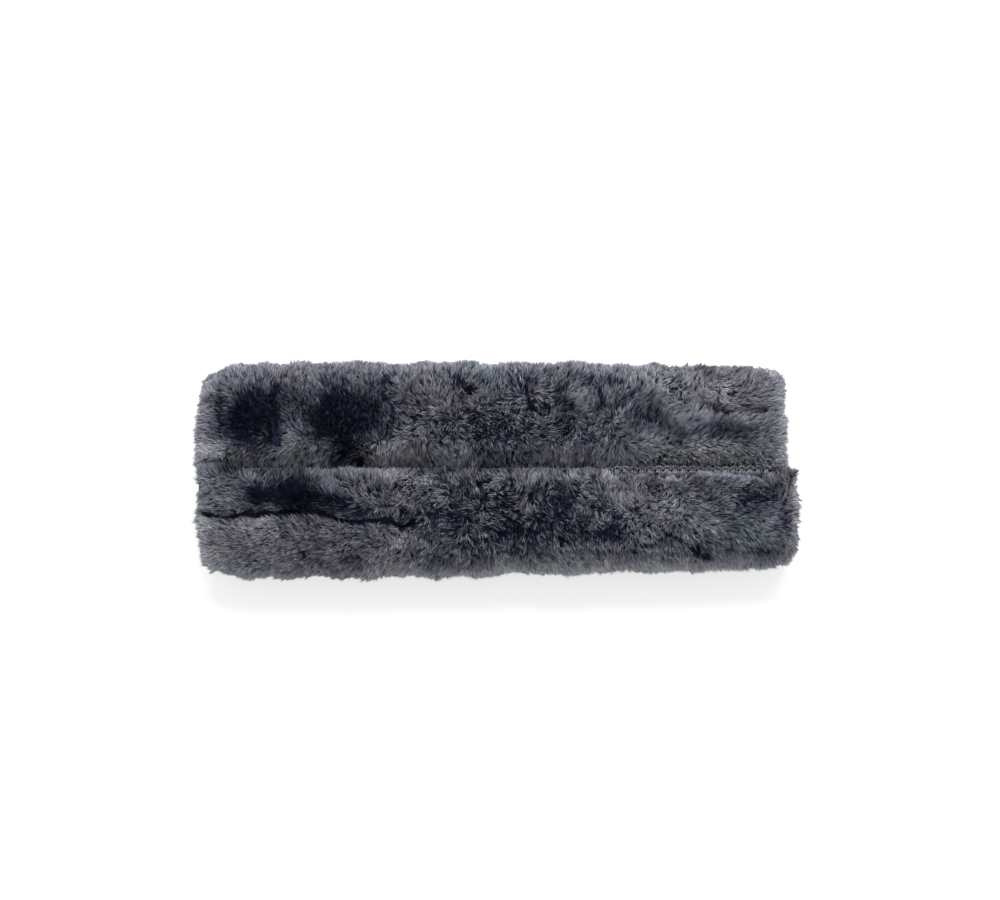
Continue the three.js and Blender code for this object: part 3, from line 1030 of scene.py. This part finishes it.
def kites(root, middle, tip, over, normal, half_width):
    """Strands as kites folded along their middles and closed to thin tetrahedra: root, the bend's two
    edges, and tip. The edges are swapped where a strand would be inside out, and none goes under the
    floor."""
    side = unit(np.cross(tip - root, normal) + 0.05 * unit(np.cross(normal, over)))
    middle = middle - 0.3 * half_width * over
    left, right = middle + half_width * side, middle - half_width * side
    turned = np.einsum("ij,ij->i", np.cross(left - root, right - root), tip - root) < 0
    left, right = np.where(turned[:, None], right, left), np.where(turned[:, None], left, right)
    points = np.stack([root, left, right, tip], 1)
    points[..., 2] = np.maximum(points[..., 2], 0.05)
    corner = np.arange(len(root))[:, None] * 4
    faces = np.concatenate([corner + c for c in ([0, 2, 1], [0, 1, 3], [0, 3, 2], [1, 2, 3])])
    return points.reshape(-1, 3), (faces,)


def strand_map(tone, teal):
    """The map that the wool's material reads: tone and dye along it, and the height from the root to
    the tip up it, by which the material paints shade towards the root, with the bend's two edges a little
    apart."""
    uv = np.empty((len(tone), 4, 2))
    uv[..., 0] = (MAP_START + MAP_SPAN * tone + MAP_TEAL * teal)[:, None] + np.array([0, -0.01, 0.01, 0])
    uv[..., 1] = np.array([0.01, 0.5, 0.5, 0.99])
    return uv.reshape(-1, 2)


def wool_strands(low, high, count, wool, seed, crowding):
    """Locks of tapered strands between two places round the wool. A strand starts under the wool's
    surface, rises, and bends over at about half its height towards its heading, to end close to the
    surface, where the wool was shorn. Near the seam its root is held back on the bank that it leans
    from, and on the bare margin it stays low."""
    rng = np.random.default_rng(seed)
    lock_run, lock_way, spacing, profile, travelled = lock_places(low, high, count, wool, crowding, rng)
    locks = len(lock_run)
    lock_turn = rng.normal(0, TURN_SPREAD, locks)
    lock_lean = rng.normal(0, LEAN_SPREAD, locks)
    lock_tone = rng.normal(0, LOCK_TONE_SPREAD, locks)
    lock_rise = rng.normal(0, LOCK_RISE_SPREAD, locks)

    owner = np.repeat(np.arange(locks), wool.strands_per_lock)
    off_run, off_way = rng.uniform(-LOCK_SCATTER, LOCK_SCATTER, (2, len(owner))) * spacing
    run = lock_run[owner] + off_run
    way = lock_way[owner] + off_way
    keep = (np.abs(run) < RUN_HALF) & (way > 0) & (way < travelled[-1])
    owner, run, way, off_run, off_way = owner[keep], run[keep], way[keep], off_run[keep], off_way[keep]
    around = np.interp(way, travelled, profile)
    number = len(run)

    place, by_run, by_round, normal = wool_frame(run, around, combed=True)
    heading, lean = nap(run, around)
    calmed = 1 - 0.5 * calm(run, around)
    heading = heading + (lock_turn[owner] + rng.normal(0, TURN_SPREAD, number)) * calmed
    lean = np.clip(lean + lock_lean[owner] + rng.normal(0, LEAN_SPREAD, number), *LEAN_LIMITS)
    near = around < 0
    over_seam = at_seam(around) * np.where(near, *SEAM_RISE)
    bulge = 1 - (off_run ** 2 + off_way ** 2) / (0.7 * spacing) ** 2
    lock_height = lock_rise[owner] * (0.5 + 0.5 * calmed + 1.1 * at_rim(run, around))
    rise = (nap_rise(run, around) + over_seam + LOCK_BULGE * bulge + lock_height
            + rng.normal(0, STRAND_RISE_SPREAD, number) + rng.exponential(WISP_RISE, number)
            - TIPS_LOWERED)
    height = wool_height(place[..., 0], skin_place(around), combed=True)
    depth = np.minimum(wool.root_depth / MM, 0.85 * height)
    on_margin = bare_share(run) * near * np.clip((BARE_WIDTH - from_seam(around)) / 0.8, 0, 1)
    rise = np.maximum(rise * (1 - 0.8 * on_margin), 0.4 - 0.3 * on_margin - depth)

    reach = strand_lean(run, around, heading, lean, depth + rise, wool)[:, None]
    over = np.cos(heading)[:, None] * by_run + np.sin(heading)[:, None] * by_round
    inward = wool.clumping * (off_run[:, None] * by_run + off_way[:, None] * by_round)
    held_back = ROOTS_HELD * np.clip(1 - from_seam(around) / (NEAR_MARGIN + NEAR_BANK), 0, 1) * near
    held = wool_surface(run, around + held_back) - wool_surface(run, around, combed=True)
    root = place - depth[:, None] * normal - LEAN_BEHIND * reach * over
    tip = place + rise[:, None] * normal + LEAN_AHEAD * reach * over - inward
    bend = BEND_HEIGHT * (depth + rise)[:, None] * normal + BEND_LEAN * reach * over
    middle = root + bend - 0.4 * inward + 0.4 * held
    half_width = wool.strand_width / MM / 2 * (1 + rng.normal(0, WIDTH_SPREAD, number))[:, None]
    points, faces = kites(root + held, middle, tip, over, normal, half_width)

    spread = STRAND_TONE_SPREAD * calmed + CURLY_TONE_SPREAD * curly(run, around)
    tone = np.clip(nap_tone(run, around) + lock_tone[owner] + rng.normal(0, 1, number) * spread, 0, 1)
    teal = rng.random(number) < teal_share(run, around)
    return points, faces, strand_map(tone, teal)


# What a user may change

def colour_property(name, description, default):
    """A property that holds a colour."""
    return bpy.props.FloatVectorProperty(
        name=name, description=description, default=default, subtype="COLOR", size=3, min=0.0, max=1.0)


class BeltPadWool(bpy.types.PropertyGroup):
    """Sizes and colours of the wool."""
    strand_length: bpy.props.FloatProperty(
        name="Strand length", description="Most that a strand reaches along the wool's surface",
        default=3.4 * MM, min=0.001, max=0.02, subtype="DISTANCE", unit="LENGTH")
    strand_width: bpy.props.FloatProperty(
        name="Strand width", description="Width of a strand of fibres where it bends over",
        default=0.36 * MM, min=0.0001, max=0.002, subtype="DISTANCE", unit="LENGTH")
    root_depth: bpy.props.FloatProperty(
        name="Root depth", description="How far under the wool's surface the strands start",
        default=3.2 * MM, min=0.0, max=0.01, subtype="DISTANCE", unit="LENGTH")
    clumping: bpy.props.FloatProperty(
        name="Clumping", description="Share by which a lock's strands draw in to one tip",
        default=0.35, min=0.0, max=1.0, subtype="FACTOR")
    strands_per_lock: bpy.props.IntProperty(
        name="Strands per lock", description="Strands that share one tip",
        default=8, min=1, max=60)
    sheen: bpy.props.FloatProperty(
        name="Sheen", description="Soft shine of the fibres seen edge on",
        default=0.02, min=0.0, max=1.0, subtype="FACTOR")
    # Painted shade: near black, the colour the wool's shaded depth takes where the wool is seen end on, and
    # the undercoat's darker grain
    deep_shade_colour: colour_property(
        "Deep colour", "Colour of wool seen end on", (0.0018, 0.0034, 0.013))
    dark_colour: colour_property(
        "Dark colour", "Colour of the darker wool", (0.024, 0.031, 0.065))
    wool_colour: colour_property(
        "Wool colour", "Colour of most of the wool", (0.294, 0.292, 0.340))
    light_colour: colour_property(
        "Light colour", "Colour of the paler locks", (0.53, 0.525, 0.562))
    tip_colour: colour_property(
        "Tip colour", "Colour of the palest wisps", (0.80, 0.79, 0.82))


class BeltPadGoods(bpy.types.PropertyGroup):
    """Colours of the hide, tapes and threads."""
    suede_dark: colour_property(
        "Suede, dark", "Darker grain of the hide's flesh side", (0.060, 0.060, 0.068))
    suede_light: colour_property(
        "Suede, light", "Paler grain of the hide's flesh side", (0.135, 0.132, 0.142))
    tape_dark: colour_property(
        "Tape, dark", "Darker yarn of the closure tapes", (0.006, 0.006, 0.008))
    tape_light: colour_property(
        "Tape, light", "Paler yarn of the closure tapes", (0.020, 0.020, 0.024))
    overlock_dark: colour_property(
        "Overlock, dark", "Darker fibres of the overlock thread", (0.17, 0.175, 0.195))
    overlock_light: colour_property(
        "Overlock, light", "Paler fibres of the overlock thread", (0.64, 0.65, 0.69))


class BeltPadStage(bpy.types.PropertyGroup):
    """The camera and lights."""
    elevation: bpy.props.FloatProperty(
        name="Camera elevation", description="Height of the camera over the horizon",
        default=math.radians(72), min=0.0, max=math.pi / 2, subtype="ANGLE", unit="ROTATION")
    distance: bpy.props.FloatProperty(
        name="Camera distance", description="From the pad to the camera",
        default=1.0, min=0.1, max=5.0, subtype="DISTANCE", unit="LENGTH")
    key_power: bpy.props.FloatProperty(
        name="Key light", description="Power of the large soft light, in watts",
        default=10.0, min=0.0, max=100.0)
    sky: bpy.props.FloatProperty(
        name="Sky light", description="Strength of the light from all round",
        default=0.6, min=0.0, max=2.0)


# Operators

# Name, lowest and highest place round the wool, strands, seed, and how far they crowd to the ends
WOOL_REGIONS = (
    ("wool_near_flap", NEAR_ROUND + 0.3, -76.0, 49500, 101, 0.0),
    ("wool_far_flap", 76.0, FAR_ROUND - FAR_MARGIN, 49500, 102, 0.0),
    ("wool_near_side", -76.0, -38.0, 49500, 103, 0.0),
    ("wool_far_side", 38.0, 76.0, 34000, 104, 0.2),
    ("wool_underside", -38.0, 38.0, 24000, 105, 1.0),
)


class BELTPAD_OT_wool(bpy.types.Operator):
    """Grow the wool in locks of fine strands over the pad, one piece for each side of it"""
    bl_idname = "beltpad.wool"
    bl_label = "Wool locks"

    def execute(self, context):
        wool = context.scene.belt_pad_wool
        material = wool_material(wool)
        for name, low, high, count, seed, crowding in WOOL_REGIONS:
            points, faces, uv = wool_strands(low, high, count, wool, seed, crowding)
            piece = mesh_piece(name, points, faces, material, uv, smooth=False)
            settle(piece, "sheepskin", "sheepskin")
        return {"FINISHED"}


class BELTPAD_OT_fleece(bpy.types.Operator):
    """Lay the dense undercoat that the locks stand in, closed all round, painted near black as the shade in
    the wool's depth
    """
    bl_idname = "beltpad.fleece"
    bl_label = "Undercoat"

    columns = 150
    rows = 100
    depth = 2.2

    def execute(self, context):
        wool = context.scene.belt_pad_wool
        run, around = np.meshgrid(np.linspace(-RUN_HALF, RUN_HALF, self.columns),
                                  np.linspace(NEAR_ROUND, FAR_ROUND, self.rows), indexing="ij")
        place, _, _, normal = wool_frame(run, around)
        across = skin_place(around)
        floor = wrap(between_ends(hide_share(run), across), across, HIDE_THICKNESS + 0.05)
        room = np.linalg.norm(place - floor, axis=-1)
        knots = 0.5 * ripple(run / 1.6, around / 1.6, 41) + 0.5 * ripple(run / 3.4, around / 3.4, 42)
        inset = np.minimum(self.depth + 0.7 * knots - nap_rise(run, around) * 0.6, 0.8 * room)
        top = place - inset[..., None] * normal
        top[..., 2] = np.maximum(top[..., 2], 0.1)
        points, faces = closed_sheet(top, floor)
        # Painted shade: the undercoat's grain runs between the deep and dark wool colours, standing in for
        # the shade between the strands
        dark, light = tuple(wool.deep_shade_colour), tuple(wool.dark_colour)
        material = speckled_material("undercoat", dark, light, 900, 0.95)
        piece = mesh_piece("wool_undercoat", points, faces, material)
        settle(piece, "sheepskin", "sheepskin")
        return {"FINISHED"}


class BELTPAD_OT_hide(bpy.types.Operator):
    """Roll the hide under the wool, with its suede flesh side round the belt's passage"""
    bl_idname = "beltpad.hide"
    bl_label = "Hide"

    columns = 24
    rows = 130

    def execute(self, context):
        share, across = np.meshgrid(np.linspace(0, 1, self.columns),
                                    np.linspace(NEAR_EDGE, FAR_EDGE, self.rows), indexing="ij")
        along = between_ends(share, across)
        outer = wrap(along, across, HIDE_THICKNESS)
        inner = wrap(along, across, 0.0)
        points, faces = closed_sheet(outer, inner)
        goods = context.scene.belt_pad_goods
        dark, light = tuple(goods.suede_dark), tuple(goods.suede_light)
        material = speckled_material("suede", dark, light, 420, 0.95, bump=0.12, sheen=0.3)
        piece = mesh_piece("hide", points, faces, material)
        settle(piece, "sheepskin", "sheepskin")
        return {"FINISHED"}


class BELTPAD_OT_tapes(bpy.types.Operator):
    """Weave the two closure tapes, one with rows of hooks and one with a pile of loops"""
    bl_idname = "beltpad.tapes"
    bl_label = "Closure tapes"

    hook_rows = 12
    hook_spacing = 2.1
    hook_radius = 0.08
    hook_shape = np.array([(0, 0), (0, -0.36), (0.12, -0.55), (0.3, -0.56), (0.38, -0.4)])
    loops = 1500
    loop_radius = 0.07
    loop_spans = (0.3, 0.55)
    loop_heights = (0.45, 0.62)
    columns = 60

    def hooks(self):
        """Hooks in rows under the near flap, each a stem that turns over at its end, every second
        row the other way."""
        y_from, y_to = HOOK_NEAR_Y + SELVEDGE + 0.8, HOOK_FAR_Y - SELVEDGE - 0.8
        y = np.linspace(y_from, y_to, self.hook_rows)
        x = np.arange(-TAPE_LENGTH / 2 + 1, TAPE_LENGTH / 2 - 1.4, self.hook_spacing)
        x, y = np.meshgrid(x, y, indexing="ij")
        way = np.where(np.arange(self.hook_rows) % 2, 1.0, -1.0)[None, :] * np.ones_like(x)
        root = TAPE_ROOF - TAPE_WEB + 0.05
        paths = np.stack(np.broadcast_arrays(
            x.ravel()[:, None] + way.ravel()[:, None] * self.hook_shape[:, 0],
            y.ravel()[:, None], root + self.hook_shape[:, 1]), -1)
        return tubes(paths, self.hook_radius)

    def loops_of_pile(self):
        """Loops scattered over the tongue, each an arch turned at random, lower than the hooks."""
        rng = np.random.default_rng(301)
        y_from, y_to = TONGUE_END + SELVEDGE + 0.5, HOOK_FAR_Y - SELVEDGE - 0.5
        x = rng.uniform(-HIDE_LENGTH / 2 - LOOP_TAIL + 1, TAPE_LENGTH / 2 - 1, self.loops)
        y = rng.uniform(y_from, y_to, self.loops)
        turn = rng.uniform(0, np.pi, self.loops)
        span = rng.uniform(*self.loop_spans, self.loops)
        angle = np.linspace(0, np.pi, 6)
        across, up = np.cos(angle), np.sin(angle)
        paths = np.stack([
            x[:, None] + (span * np.cos(turn))[:, None] * across,
            y[:, None] + (span * np.sin(turn))[:, None] * across,
            TONGUE_ROOF - TAPE_PILE - 0.05 + rng.uniform(*self.loop_heights, self.loops)[:, None] * up], -1)
        return tubes(paths, self.loop_radius)

    def hook_band(self):
        """The hook tape's woven band, flat with half round edges."""
        section = rounded_strip(HOOK_NEAR_Y, HOOK_FAR_Y, TAPE_ROOF - TAPE_WEB, TAPE_ROOF)
        return carried_section(section, -TAPE_LENGTH / 2, TAPE_LENGTH / 2, self.columns)

    def loop_band(self):
        """The loop tape's woven band: flat under the far flap, then down along half a cosine wave to
        the tongue under the hooks."""
        bend_from, bend_to = FAR_EDGE_Y + 0.5, HOOK_FAR_Y + SELVEDGE / 2
        share = np.linspace(0, 1, 9)
        bend_y = bend_from + (bend_to - bend_from) * share
        bend_z = TAPE_ROOF - (1 - np.cos(np.pi * share)) / 2 * (TAPE_ROOF - TONGUE_ROOF + TAPE_PILE)
        upper = [(FAR_EDGE_Y + LOOP_STRIP, TAPE_ROOF), *zip(bend_y, bend_z),
                 (TONGUE_END, TONGUE_ROOF - TAPE_PILE)]
        lower = [(y, z - TAPE_WEB) for y, z in reversed(upper)]
        left = -HIDE_LENGTH / 2 - LOOP_TAIL
        return carried_section(upper + lower, left, TAPE_LENGTH / 2, self.columns)

    def execute(self, context):
        goods = context.scene.belt_pad_goods
        dark, light = tuple(goods.tape_dark), tuple(goods.tape_light)
        nylon = speckled_material("woven_nylon", dark, light, 1500, 0.7, bump=0.15)
        piece = joined_piece("hook_tape_woven", nylon, self.hook_band(), self.hooks())
        settle(piece, "hook_nylon", "hook_tape")
        piece = joined_piece("loop_tape_woven", nylon, self.loop_band(), self.loops_of_pile())
        settle(piece, "loop_nylon", "loop_tape")
        return {"FINISHED"}


class BELTPAD_OT_threads(bpy.types.Operator):
    """Sew the overlock along the near edge and the lockstitches of the tapes"""
    bl_idname = "beltpad.threads"
    bl_label = "Threads"

    # Shapes in the threads: shares of a pitch along, millimetres beyond the edge or the leg's end, and
    # millimetres up; and for a lockstitch shares of a pitch along and radii up
    arch_shape = ((0.0, 0.4, 0.4), (0.1, -0.4, 1.1), (0.45, -0.65, 1.5), (0.78, -0.4, 1.1), (0.88, 0.6, 0.5))
    arch_radius = 0.45
    leg_shape = ((0.1, -0.1, 0.2), (0.12, 0.6, 0.35), (0.18, 1.8, 0.3))
    leg_end_shape = ((0.3, 1.0, -0.1),)
    leg_places = (0.14, 0.38)
    leg_radius = 0.3
    hidden_shift = 0.75
    lockstitch_shape = np.array([(-0.2, 0.5), (0.0, 0.1), (0.3, -0.2), (0.6, 0.1)])

    def overlock(self):
        """Per stitch of the seam's own thread a leg on the clipped margin, up to the edge, down over
        the corner and back; and over it a wide low arch along the edge with two legs that run back
        from under it over the margin, sunk and drawn in where the wool hides them."""
        start = left_end(NEAR_EDGE) + OVERLOCK_PITCH
        stitches = int((right_end(NEAR_EDGE) - OVERLOCK_PITCH - start) / OVERLOCK_PITCH)
        first = (start + OVERLOCK_PITCH * np.arange(stitches))[:, None]
        over_hide = HIDE_THICKNESS + STUBBLE + CLEARANCE + OVERLOCK_RADIUS
        beside_edge = NEAR_EDGE - CLEARANCE - OVERLOCK_RADIUS
        leg_end = NEAR_EDGE + NEAR_MARGIN - CLEARANCE - OVERLOCK_RADIUS
        turns = np.array([(0, leg_end, over_hide), (0.3, beside_edge, over_hide),
                          (0.5, beside_edge, HIDE_THICKNESS / 2), (0.7, beside_edge, over_hide)])
        seam = wrap(first + OVERLOCK_PITCH * turns[:, 0], turns[:, 1], turns[:, 2]).reshape(-1, 3)
        bare = bare_share(first)

        def each_stitch(shape, radius):
            """A tube for each stitch, along a shape given as pitch shares, places across and heights."""
            across = shape[:, 1] + self.hidden_shift * (1 - bare)
            up = over_hide + shape[:, 2] * (0.15 + 0.85 * bare)
            return tubes(wrap(first + OVERLOCK_PITCH * shape[:, 0], across, up), radius, 5)

        arch = np.array(self.arch_shape) + (0, beside_edge, 0)
        leg = np.concatenate([np.array(self.leg_shape) + (0, beside_edge, 0),
                              np.array(self.leg_end_shape) + (0, leg_end, 0)])
        arches = each_stitch(arch, self.arch_radius)
        legs = [each_stitch(leg + (aside, 0, 0), self.leg_radius) for aside in self.leg_places]
        return tubes(smooth_path(seam, 3)[None], OVERLOCK_RADIUS, 5), arches, *legs

    def lockstitches(self, y):
        """A row of stitches under a tape's border, each a low arch that dips at the needle holes."""
        stitches = int((TAPE_LENGTH - 2 * STITCH_PITCH) / STITCH_PITCH)
        along = (np.arange(stitches + 1) - stitches / 2) * STITCH_PITCH
        level = TAPE_ROOF - TAPE_WEB - CLEARANCE - 1.6 * STITCH_RADIUS
        x = along[:, None] + self.lockstitch_shape[:, 0] * STITCH_PITCH
        z = level + self.lockstitch_shape[:, 1] * STITCH_RADIUS
        path = np.stack(np.broadcast_arrays(x, y, z), -1).reshape(-1, 3)
        return tubes(path[None], STITCH_RADIUS, 4)

    def execute(self, context):
        goods = context.scene.belt_pad_goods
        dark, light = tuple(goods.overlock_dark), tuple(goods.overlock_light)
        spun = speckled_material("overlock_thread", dark, light, 2500, 0.6, bump=0.05, sheen=0.3)
        dark, light = tuple(goods.tape_dark), tuple(goods.tape_light)
        black = speckled_material("tape_thread", dark, light, 2500, 0.5, bump=0.05)
        piece = joined_piece("edge_overlock", spun, *self.overlock())
        settle(piece, "overlock_thread", "near_edge_overlock")
        for name, y in (("hook_tape_inner_stitching", HOOK_NEAR_Y + SELVEDGE / 2),
                        ("hook_tape_edge_stitching", HOOK_FAR_Y - SELVEDGE / 2),
                        ("loop_tape_stitching", FAR_EDGE_Y + LOOP_STRIP - SELVEDGE / 2)):
            piece = joined_piece(name.replace("stitching", "lockstitches"), black, self.lockstitches(y))
            settle(piece, "tape_thread", name)
        return {"FINISHED"}


class BELTPAD_OT_stage(bpy.types.Operator):
    """Set the floor, the lights and the camera of the photograph"""
    bl_idname = "beltpad.stage"
    bl_label = "Stage"

    def execute(self, context):
        stage = context.scene.belt_pad_stage
        corners = FLOOR_HALF * np.array([(-1, -1, 0), (1, -1, 0), (1, 1, 0), (-1, 1, 0)])
        floor = mesh_piece("floor", corners, (np.array([[0, 1, 2, 3]]),), floor_material(), smooth=False)

        world = bpy.data.worlds.new("studio")
        context.scene.world = world
        world.use_nodes = True
        sky = world.node_tree.nodes["Background"]
        sky.inputs["Color"].default_value = (1, 1, 1, 1)
        sky.inputs["Strength"].default_value = stage.sky

        key = bpy.data.lights.new("key", "AREA")
        key.shape = "RECTANGLE"
        key.size, key.size_y = KEY_SIZE
        key.energy = stage.key_power
        lamp = bpy.data.objects.new("key", key)
        lamp.location = KEY_PLACE
        lamp.rotation_euler = KEY_TURN
        context.scene.collection.objects.link(lamp)

        lens = bpy.data.cameras.new("camera")
        lens.lens = LENS
        lens.sensor_width = SENSOR_WIDTH
        camera = bpy.data.objects.new("camera", lens)
        context.scene.collection.objects.link(camera)
        right = np.array([1, 0, 0])
        up = np.array([0, math.sin(stage.elevation), math.cos(stage.elevation)])
        back = np.array([0, -math.cos(stage.elevation), math.sin(stage.elevation)])
        aim = (np.array(PAD_MIDDLE) + VIEW_OFFSET[0] * right + VIEW_OFFSET[1] * up) * MM
        camera.location = aim + stage.distance * back
        camera.rotation_euler = (math.pi / 2 - stage.elevation, 0, 0)
        context.scene.camera = camera
        context.scene.view_settings.view_transform = "Standard"
        return {"FINISHED"}


class BELTPAD_PT_panel(bpy.types.Panel):
    """Build the belt pad piece by piece"""
    bl_idname = "BELTPAD_PT_panel"
    bl_label = "Belt Pad"
    bl_space_type = "VIEW_3D"
    bl_region_type = "UI"
    bl_category = "Belt Pad"

    def draw(self, context):
        for operator in OPERATORS:
            self.layout.operator(operator.bl_idname)


OPERATORS = (BELTPAD_OT_stage, BELTPAD_OT_hide, BELTPAD_OT_fleece, BELTPAD_OT_wool, BELTPAD_OT_tapes,
             BELTPAD_OT_threads)
CLASSES = (BeltPadWool, BeltPadGoods, BeltPadStage, *OPERATORS, BELTPAD_PT_panel)


def register():
    """Makes the classes known to Blender and gives the scene their properties."""
    for item in CLASSES:
        bpy.utils.register_class(item)
    bpy.types.Scene.belt_pad_wool = bpy.props.PointerProperty(type=BeltPadWool)
    bpy.types.Scene.belt_pad_goods = bpy.props.PointerProperty(type=BeltPadGoods)
    bpy.types.Scene.belt_pad_stage = bpy.props.PointerProperty(type=BeltPadStage)


def unregister():
    """Takes back what register did."""
    del bpy.types.Scene.belt_pad_stage
    del bpy.types.Scene.belt_pad_goods
    del bpy.types.Scene.belt_pad_wool
    for item in reversed(CLASSES):
        bpy.utils.unregister_class(item)


def main():
    """Builds every piece in order."""
    register()
    bpy.ops.beltpad.stage()
    bpy.ops.beltpad.hide()
    bpy.ops.beltpad.fleece()
    bpy.ops.beltpad.wool()
    bpy.ops.beltpad.tapes()
    bpy.ops.beltpad.threads()


if __name__ == "__main__":
    main()
